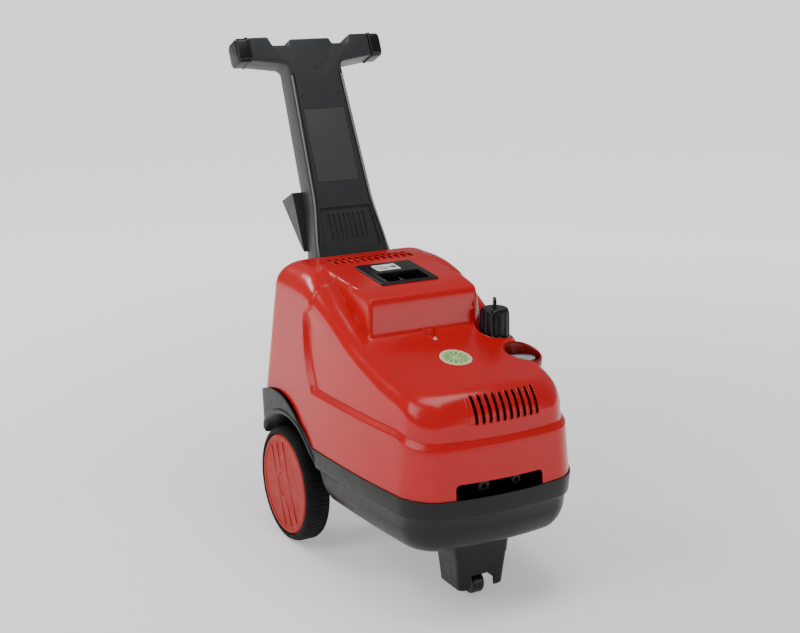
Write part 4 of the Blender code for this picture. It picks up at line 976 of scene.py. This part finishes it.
def round_label():
    """Round label on the bonnet: pale ring, green face and radial marks."""
    low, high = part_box("round_label")
    middle = (low + high) / 2
    radius = (high.x - low.x) / 2
    edge = disc_on_cover("label_edge", middle, radius * 0.86, radius, 0.0011, "label_cream")
    disc_on_cover("label_face", middle, 1e-4, radius * 0.87, 0.0010, "label_green")
    verts, faces = [], []
    for k in range(LABEL_MARKS):
        angle = 2 * math.pi * k / LABEL_MARKS
        for across, along in ((-0.0009, 0.30), (0.0009, 0.30), (0.0022, 0.74), (-0.0022, 0.74)):
            r = radius * along
            x = middle.x + r * math.cos(angle) - across * math.sin(angle)
            y = middle.y + r * math.sin(angle) + across * math.cos(angle)
            verts.append(drop(x, y) + Vector((0, 0, 0.0013)))
        faces.append(tuple(range(4 * k, 4 * k + 4)))
    piece("label_marks", verts, faces, "label_mark")
    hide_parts("round_label")


def step_boss(spot):
    """V-shaped boss at the foot of the deck's step."""
    rings = []
    for half, tip_half, tip_y, tip_round, rise in ((0.019, 0.006, -0.166, 0.004, -0.004),
                                                   (0.014, 0.004, -0.156, 0.003, 0.016)):
        outline = rounded_polygon(((-half, -0.140, 0), (-tip_half, tip_y, tip_round),
                                   (tip_half, tip_y, tip_round), (half, -0.140, 0)))
        rings.append([(x, y, spot.z + rise) for x, y in outline])
    loft("step_boss", rings, "red_plastic", bevel=0.0012)


def deck_screw(spot):
    """Sunk screw head in front of the step's boss."""
    profile = rounded(((0, 0.0012), (0.0022, 0.0012), (0.0042, 0.0022), (0.0055, 0.0005), (0.0055, -0.003),
                       (0, -0.003)), 0.0006)
    lathe("deck_screw", profile, "steel", segments=32, plane=Matrix.Translation(spot))


# ---------------------------------------------------------------- base, foot and wheels

def tub_ring(inset, height):
    """Ring of the plan outline moved inwards; height gives its level at each y."""
    points = []
    for station in STATIONS:
        x, y = outline_point(station, inset)
        points.append((x, y, height(y)))
    return full_ring(points)


def base_rings(wall, shift):
    """Outline rings of the tub's skin, or of its hollow where wall is above 0."""
    lip = -BASE_LIP + wall
    rings = [tub_ring(lip, lambda y: seam_height(y) - 0.0003 + shift),
             tub_ring(-0.0004 - BASE_LIP + wall, lambda y: seam_height(y) - 0.004)]
    for level, inset in TUB_STEP:
        rings.append(tub_ring(inset - BASE_LIP + wall, lambda y: level))
    for angle in np.linspace(0.25, math.pi / 2, 10):
        inset = BELLY_INSET + BELLY_ROUND * (1 - math.cos(angle))
        level = BASE_BOTTOM + BELLY_HEIGHT * (1 - math.sin(angle))
        raised = level + wall if level < BELLY_TOP else level
        rings.append(tub_ring(inset - BASE_LIP + wall, lambda y: raised))
    return rings


def tub_body(name, wall, shift, **place):
    """Closed body of the tub, its humped top closed by strips from side to side."""
    rings = base_rings(wall, shift)
    count = len(rings[0])
    verts = [p for ring in rings for p in ring]
    faces = strip_faces(len(rings), count)
    faces.append(end_face(rings))
    for k in range(count // 2):
        face = tuple(dict.fromkeys((k, k + 1, (count - k - 1) % count, (count - k) % count)))
        if len(face) > 2:
            faces.append(face)
    return piece(name, verts, faces, "base_plastic", **place)


def side_cutter(outline, near, far):
    """Cutter with a (y, z) outline between two places across the machine."""
    return loft("cutter", [[(x, y, z) for y, z in outline] for x in (near, far)], "base_plastic", body=None)


def base_tub():
    """Hollow tub with an arch over each wheel and a rounded end behind it."""
    wall_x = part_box("tyre_right")[0].x - WHEEL_GAP
    tub = tub_body("tub_shell", 0.0, 0.0)
    inside = tub_body("tub_hollow", BASE_WALL, 0.02, body=None)
    arch = circle(ARCH_RADIUS + BASE_WALL, ROUND_STEPS, (ARCH_Y, ARCH_Z))
    for side, _ in SIDES:
        boolean(inside, side_cutter(arch, side * (wall_x - BASE_WALL), side * 0.30))
    boolean(tub, inside)
    arch = circle(ARCH_RADIUS, ROUND_STEPS, (ARCH_Y, ARCH_Z))
    tail = [(ARCH_Y, 0.10), (0.30, 0.10), (0.30, TAIL_Z + TAIL_ROUND)]
    tail += arc_points((TAIL_Y - TAIL_ROUND, TAIL_Z + TAIL_ROUND), TAIL_ROUND, 0, -math.pi / 2, 12)
    tail.append((ARCH_Y, TAIL_Z))
    for side, _ in SIDES:
        boolean(tub, side_cutter(arch, side * wall_x, side * 0.30))
        boolean(tub, side_cutter(tail, *sorted((side * wall_x, side * 0.30))))
    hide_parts("base_tub")


def arch_lips():
    """Rolled edge of the tub over each wheel."""
    for side, label in SIDES:
        x = side * (COVER_HALF + BASE_LIP - LIP_ROUND * 0.45)
        rings = []
        for share in np.linspace(0, 1, 41):
            angle = math.radians(LIP_START + (LIP_END - LIP_START) * share)
            thick = float(LIP_ROUND * (0.15 + 0.85 * min(1.0, 9 * share, 9 * (1 - share)) ** 0.5))
            along = Vector((0, math.cos(angle), math.sin(angle)))
            centre = Vector((x, ARCH_Y, ARCH_Z)) + along * (ARCH_RADIUS + LIP_ROUND * 0.55)
            centre.x += side * (thick - LIP_ROUND)
            rings.append([centre + thick * (math.cos(a) * Vector((1, 0, 0)) + math.sin(a) * along)
                          for a in turn_angles(16)])
        loft(f"arch_lip_{label}", rings, "base_plastic")


def foot():
    """Hollow housing of the caster, stepped outside and open in front."""
    low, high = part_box("foot_housing")
    middle_y = (low.y + high.y) / 2
    half_x, half_y = (high.x - low.x) / 2, (high.y - low.y) / 2
    rings = []
    for share, scale in ((0.0, 0.965), (0.012, 0.99), (0.03, 1.0), (0.60, 1.0), (0.62, 1.02), (0.93, 1.0),
                         (0.95, 1.035), (0.995, 1.035), (1.0, 1.02)):
        across = half_x * (0.781 + 0.188 * share) * scale
        depth = half_y * (0.807 + 0.160 * share) * scale
        outline = rounded_box_outline(-across, across, middle_y - depth, middle_y + depth, 0.012)
        rings.append([(x, y, low.z + (high.z - low.z) * share) for x, y in outline])
    housing = loft("foot_shell", rings, "base_plastic", smooth=40)
    hollow = rounded_box_outline(-0.046, 0.046, middle_y - 0.036, middle_y + 0.036, 0.010)
    boolean(housing, upright_cutter(hollow, low.z - 0.01, FOOT_WEB_Z))
    window = rounded_polygon(((-0.030, 0.0, 0), (0.030, 0.0, 0), (0.026, 0.052, 0.006),
                              (-0.026, 0.052, 0.006)))
    boolean(housing, nose_cutter(window, low.y - 0.03, middle_y))
    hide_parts("foot_housing")


def tyre_profile(side, inner_x, outer_x, radius):
    """Side to side profile as (radius, x): shoulders, side walls and the seats of rim and cap."""
    reach = abs(outer_x - inner_x)
    base = ((0.100, 0.003), (radius - 0.012, 0.002), (radius - 0.004, 0.006), (radius, 0.014),
            (radius, reach - 0.014), (radius - 0.004, reach - 0.005), (radius - 0.010, reach - 0.0015),
            (CAP_SEAT, reach - 0.002), (CAP_SEAT, reach - 0.014), (0.100, reach - 0.014))
    return [(r, inner_x + side * h) for r, h in base]


def tyre(side, label, inner_x, outer_x, middle, radius):
    """Solid tyre with fine cross grooves in its tread."""
    rings = []
    for r, x in rounded(tyre_profile(side, inner_x, outer_x, radius), 0.003, 3):
        ring = []
        for k in range(TREAD_RIBS * RIB_STEPS):
            angle = 2 * math.pi * k / (TREAD_RIBS * RIB_STEPS)
            groove = TREAD_DEPTH if k % RIB_STEPS == 0 and r > radius - 0.0045 else 0.0
            reach = r - groove
            ring.append((x, middle.y + reach * math.cos(angle), middle.z + reach * math.sin(angle)))
        rings.append(ring)
    made = loft(f"tyre_{label}_treaded", rings, "tyre_rubber", closed=True, body=f"wheel_{label}_body",
                smooth=30)
    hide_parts(f"tyre_{label}")


def hubcap(side, label, middle, face):
    """Dished disc with a raised rim and hub; face is the place of its front along the axle."""
    depths = ((0, 0.012), (0.1080, 0.012), (0.1080, 0.0035), (0.1050, 0.0006), (0.0985, 0.0004),
              (0.0965, 0.0022), (0.0300, 0.0005), (0.0285, 0), (0.0270, 0), (0.0255, 0.0014), (0, 0.0010))
    profile = [(r, face - side * depth) for r, depth in depths]
    cap = lathe(f"hubcap_{label}_disc", rounded(profile, 0.0010, 2), "wheel_red", "X", ROUND_STEPS,
                centre=(0, middle.y, middle.z), body=f"wheel_{label}_body", smooth=30)
    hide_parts(f"hubcap_{label}")


def hubcap_bars(side, label, middle, face):
    """Raised bars across the cap, the middle one broken by the hub."""
    slant = Matrix.Rotation(BAR_SLANT, 2)
    blocks = []
    for offset in (-BAR_PITCH, 0.0, BAR_PITCH):
        reach = math.sqrt(BAR_REACH ** 2 - offset ** 2)
        for near, far in ([(-reach, reach)] if offset else [(BAR_START, reach), (-reach, -BAR_START)]):
            bar = box_corners(near, far, offset - BAR_HALF, offset + BAR_HALF)
            ends = [slant @ Vector(end) for end in bar]
            blocks.append([(x, middle.y + end.x, middle.z + end.y)
                           for x in (face - side * 0.004, face - side * 0.0002) for end in ends])
    boxes(f"hubcap_{label}_ribs", blocks, "wheel_red", body=f"wheel_{label}_body")


def wheel(side, label):
    low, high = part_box(f"tyre_{label}")
    inner_x, outer_x = (high.x, low.x) if side < 0 else (low.x, high.x)
    middle = (low + high) / 2
    face = outer_x - side * 0.0012
    tyre(side, label, inner_x, outer_x, middle, (high.z - low.z) / 2)
    hubcap(side, label, middle, face)
    hubcap_bars(side, label, middle, face)


# ---------------------------------------------------------------- handle

HANDLE_PLANE = Matrix.Translation(HANDLE_ORIGIN) @ Matrix.Rotation(math.pi / 2 - HANDLE_LEAN, 4, "X")


def handle_outline():
    """Outline of column and T-bar in the handle plane, the bar's upper edge notched on both sides."""
    bar_end = GRIP_HALF - GRIP_CAP
    right = ((COLUMN_FOOT_HALF + 0.007, -0.060, 0), (COLUMN_FOOT_HALF, 0.0, 0.05),
             (COLUMN_MID_HALF, 0.120, 0.30), (COLUMN_TOP_HALF, GRIP_LOW - 0.012, 0.014),
             (bar_end, GRIP_LOW, 0), (bar_end, GRIP_HIGH, 0.004), (0.099, GRIP_HIGH, 0.006),
             (0.091, GRIP_HIGH - 0.020, 0.005), (0.0535, GRIP_HIGH - 0.020, 0.005),
             (0.048, GRIP_HIGH - 0.007, 0.006))
    left = [(-x, s, radius) for x, s, radius in reversed(right)]
    return rounded_polygon(tuple(right) + tuple(left), 6)


def handle_cutter(outline, low):
    """Cutter that opens the column's front down to low."""
    return prism("cutter", outline, low, 0.01, body=None, plane=HANDLE_PLANE)


def rail_groove(side):
    """Shallow channel beside the column's edge rail."""
    inset, width = RAIL_INSET + 0.0033, 0.0035
    line = ((COLUMN_FOOT_HALF, 0.020), (COLUMN_MID_HALF + 0.0008, 0.118),
            (COLUMN_TOP_HALF + 0.001, GRIP_LOW - 0.034))
    outer = [(side * (x - inset), s) for x, s in line]
    inner = [(side * (x - inset - width), s) for x, s in reversed(line)]
    return outer + inner if side > 0 else list(reversed(outer + inner))


def handle_shell(name, outline, split, face):
    """Half of the handle between the split and its outer face, whose edge is rounded."""
    out = math.copysign(1, face - split)
    rings = [[(x, s, split) for x, s in outline], [(x, s, face - out * HANDLE_EDGE) for x, s in outline]]
    for angle in np.linspace(0, math.pi / 2, 6)[1:]:
        moved = offset_outline(outline, HANDLE_EDGE * (1 - math.cos(angle)))
        rings.append([(x, s, face - out * HANDLE_EDGE * (1 - math.sin(angle))) for x, s in moved])
    return loft(name, rings, "handle_plastic", plane=HANDLE_PLANE, smooth=40)


def column_recesses(front, label):
    """Channels beside the rails, bed of the label, and the lower recess with its upright grooves."""
    for side, _ in SIDES:
        boolean(front, handle_cutter(rail_groove(side), -0.0022))
    boolean(front, handle_cutter(label, -0.0016))
    recess = rounded_polygon(((-0.070, 0.014, 0.006), (0.070, 0.014, 0.006), (0.061, 0.106, 0.006),
                              (-0.061, 0.106, 0.006)))
    boolean(front, handle_cutter(recess, -0.0040))
    for k in range(GROOVES):
        x = (k - (GROOVES - 1) / 2) * GROOVE_PITCH
        groove = rounded_box_outline(x - GROOVE_HALF, x + GROOVE_HALF, 0.034, 0.092, GROOVE_HALF - 0.0001)
        boolean(front, handle_cutter(groove, -0.0062))


def handle_shells():
    outline = handle_outline()
    front = handle_shell("handle_front_shell", outline, -HANDLE_SPLIT, 0)
    rear = handle_shell("handle_rear_shell", outline, -HANDLE_SPLIT - 0.0004, -HANDLE_DEPTH)
    seam = prism("handle_seam", offset_outline(outline, 0.0012), -HANDLE_SPLIT - 0.0012,
                 -HANDLE_SPLIT + 0.0008, plane=HANDLE_PLANE)
    for shell in (front, rear, seam):
        boolean(shell, upright_cutter(box_corners(-0.2, 0.2, 0.0, 0.4), 0.40, COLUMN_SEAT_Z))
    label = rounded_box_outline(-LABEL_HALF, LABEL_HALF, *LABEL_S, 0.004)
    column_recesses(front, label)
    plate = domed_prism("handle_plate", offset_outline(label, 0.0005), -0.0014, -0.0002, 0.0006,
                        "insert_plastic", plane=HANDLE_PLANE)
    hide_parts("handle_label")
    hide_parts("handle_front")
    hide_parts("handle_rear")


def handle_rails():
    """Rounded rails along both edges of the column's front, coloured a lighter grey than the handle as a
    painted highlight.
    """
    line = ((COLUMN_FOOT_HALF + 0.001, -0.010), (COLUMN_FOOT_HALF, 0.020), (COLUMN_MID_HALF + 0.0008, 0.118),
            (COLUMN_TOP_HALF + 0.001, GRIP_LOW - 0.030))
    for side, label in SIDES:
        rings = []
        for x, s in dense_line(line):
            rings.append([(side * (x - RAIL_INSET) + RAIL_ROUND * 1.3 * math.cos(a), s,
                           RAIL_ROUND * math.sin(a) - 0.0006) for a in turn_angles(12)])
        loft(f"handle_rail_{label}", rings, "rail_painted_highlight", plane=HANDLE_PLANE)


def handle_screws():
    """Sunk screw heads in the column's front."""
    profile = rounded(((0, -0.0030), (0.0016, -0.0030), (0.0022, -0.0004), (0.0042, 0.0005),
                       (0.0048, -0.0008), (0.0048, -0.004), (0, -0.004)), 0.0004, 3)
    places = ((-0.046, 0.134), (0.046, 0.134), (-0.044, 0.362), (0.044, 0.362), (0, 0.425))
    for number, (x, s) in enumerate(places):
        lathe(f"handle_screw_{number + 1}", profile, "black_plastic", segments=24,
              plane=HANDLE_PLANE @ Matrix.Translation((x, s, 0)))


def grip_caps():
    """Caps over both ends of the T-bar, stepped down behind their collar."""
    centre_s, centre_d = (GRIP_LOW + GRIP_HIGH) / 2, -HANDLE_DEPTH / 2
    for side, label in SIDES:
        inner, outer = side * (GRIP_HALF - GRIP_CAP + 0.0003), side * GRIP_HALF
        rings = []
        for share, shrink in ((0.0, 0.0008), (0.03, 0.0), (0.16, 0.0), (0.19, 0.0018), (0.80, 0.0018),
                              (0.90, 0.0030), (0.97, 0.0060), (1.0, 0.0110)):
            half_s = (GRIP_HIGH - GRIP_LOW) / 2 + CAP_LIP - shrink
            half_d = HANDLE_DEPTH / 2 + CAP_LIP - shrink
            section = rounded_box_outline(centre_s - half_s, centre_s + half_s,
                                          centre_d - half_d, centre_d + half_d, CAP_CORNER)
            rings.append([(inner + (outer - inner) * share, s, d) for s, d in section])
        cap = loft(f"grip_end_{label}", rings, "black_plastic", plane=HANDLE_PLANE, smooth=40)
        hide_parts(f"grip_cap_{label}")


# ---------------------------------------------------------------- carried-over nodes

def finish_cad_nodes():
    """Gives every CAD node the finish of its slot, apart from the couplings and their plate, which are
    painted black as painted shade, and rounds the edges of those that stay in view.
    """
    for entry in frame["record"]["subparts"]:
        node = frame["nodes"][entry["node"]]
        slot = entry["material_slot"]
        node.data.materials.clear()
        # the couplings and their plate get black as painted shade
        finish = "black_plastic" if entry["node"] in SHADED else slot
        node.data.materials.append(lens_material() if slot == "clear_lens" else material(finish))
    for name in ("rear_holder", "axle_saddle_left", "axle_saddle_right", "caster_wheel", "gauge_body"):
        bevelled(frame["nodes"][name], 0.0012, 2, 50)


# ---------------------------------------------------------------- stage

FLOOR_HALF = 30.0


def glow(tree, coordinates):
    """Light given off by the paper: weak round the machine and stronger far from it."""
    away = tree.nodes.new("ShaderNodeVectorMath")
    away.operation = "LENGTH"
    link(tree, coordinates.outputs["Object"], away.inputs[0])
    rise = tree.nodes.new("ShaderNodeMapRange")
    rise.interpolation_type = "SMOOTHSTEP"
    rise.inputs["From Min"].default_value = 0.4
    rise.inputs["From Max"].default_value = 3.5
    rise.inputs["To Min"].default_value = 0.45
    rise.inputs["To Max"].default_value = 1.25
    link(tree, away.outputs["Value"], rise.inputs["Value"])
    return rise.outputs["Result"]


def floor():
    """Large sheet of white paper under the machine."""
    made, shader, coordinates = blank_material("floor_paper")
    tree = made.node_tree
    tint = mottled(tree, coordinates, (0.90, 0.90, 0.90), 0.6, 0.01)
    link(tree, tint, shader.inputs["Base Color"])
    link(tree, tint, shader.inputs["Emission Color"])
    link(tree, glow(tree, coordinates), shader.inputs["Emission Strength"])
    shader.inputs["Roughness"].default_value = 0.85
    mesh = bpy.data.meshes.new("floor")
    corners = box_corners(-FLOOR_HALF, FLOOR_HALF, -FLOOR_HALF, FLOOR_HALF)
    mesh.from_pydata([(x, y, 0) for x, y in corners], [], [(0, 1, 2, 3)])
    mesh.materials.append(made)
    ground = bpy.data.objects.new("floor", mesh)
    bpy.context.scene.collection.objects.link(ground)


def softbox(name, place, target, width, height, power):
    """Rectangular lamp at place, facing target."""
    light = bpy.data.lights.new(name, "AREA")
    light.shape = "RECTANGLE"
    light.size = width
    light.size_y = height
    light.energy = power
    made = bpy.data.objects.new(name, light)
    made.location = place
    made.rotation_euler = (Vector(target) - Vector(place)).to_track_quat("-Z", "Y").to_euler()
    bpy.context.scene.collection.objects.link(made)


def lights():
    world = bpy.data.worlds.new("studio")
    world.use_nodes = True
    world.node_tree.nodes["Background"].inputs["Color"].default_value = (1, 1, 1, 1)
    world.node_tree.nodes["Background"].inputs["Strength"].default_value = 0.28
    bpy.context.scene.world = world
    softbox("key_left", (-2.6, -0.4, 2.6), (0, 0, 0.4), 1.4, 2.2, 40)
    softbox("top", (0.2, -0.3, 3.2), (0, 0, 0.4), 1.8, 1.4, 38)
    softbox("rear_left", (-1.3, 2.2, 2.3), (0, -0.2, 0.5), 1.2, 0.5, 26)
    softbox("front_low", (1.9, -3.4, 0.95), (0, -0.1, 0.5), 1.9, 0.7, 12)


def camera():
    target = Vector((0.0404, 0.05, 0.4745))
    azimuth, elevation, roll = math.radians(-28.4), math.radians(14.537), math.radians(-0.35)
    distance = 3.1154
    back = Vector((math.sin(azimuth) * math.cos(elevation), -math.cos(azimuth) * math.cos(elevation),
                   math.sin(elevation)))
    data = bpy.data.cameras.new("view")
    data.lens = 65.72
    data.sensor_width = 36
    made = bpy.data.objects.new("view", data)
    turn = back.to_track_quat("Z", "Y").to_matrix().to_4x4() @ Matrix.Rotation(roll, 4, "Z")
    made.matrix_world = Matrix.Translation(target + back * distance) @ turn
    bpy.context.scene.collection.objects.link(made)
    bpy.context.scene.camera = made


def main():
    knob_low, knob_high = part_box("pressure_knob")
    knob = tuple(((knob_low + knob_high) / 2).xy)
    gauge_low, gauge_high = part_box("gauge_body")
    gauge = tuple(((gauge_low + gauge_high) / 2).xy)
    finish_cad_nodes()
    cover(knob, gauge)
    vent_lips()
    vent_pad()
    knob_pocket(knob, knob_low.z - 0.006)
    gauge_pod(gauge, gauge_high.z - 0.010)
    main_knob()
    gauge_rim(gauge)
    gauge_scale(gauge)
    switch_panel()
    round_label()
    screw_spot = drop(0, -0.171)
    step_boss(screw_spot)
    deck_screw(screw_spot)
    base_tub()
    arch_lips()
    foot()
    for side, label in SIDES:
        wheel(side, label)
    handle_shells()
    handle_rails()
    handle_screws()
    grip_caps()
    floor()
    lights()
    camera()


main()
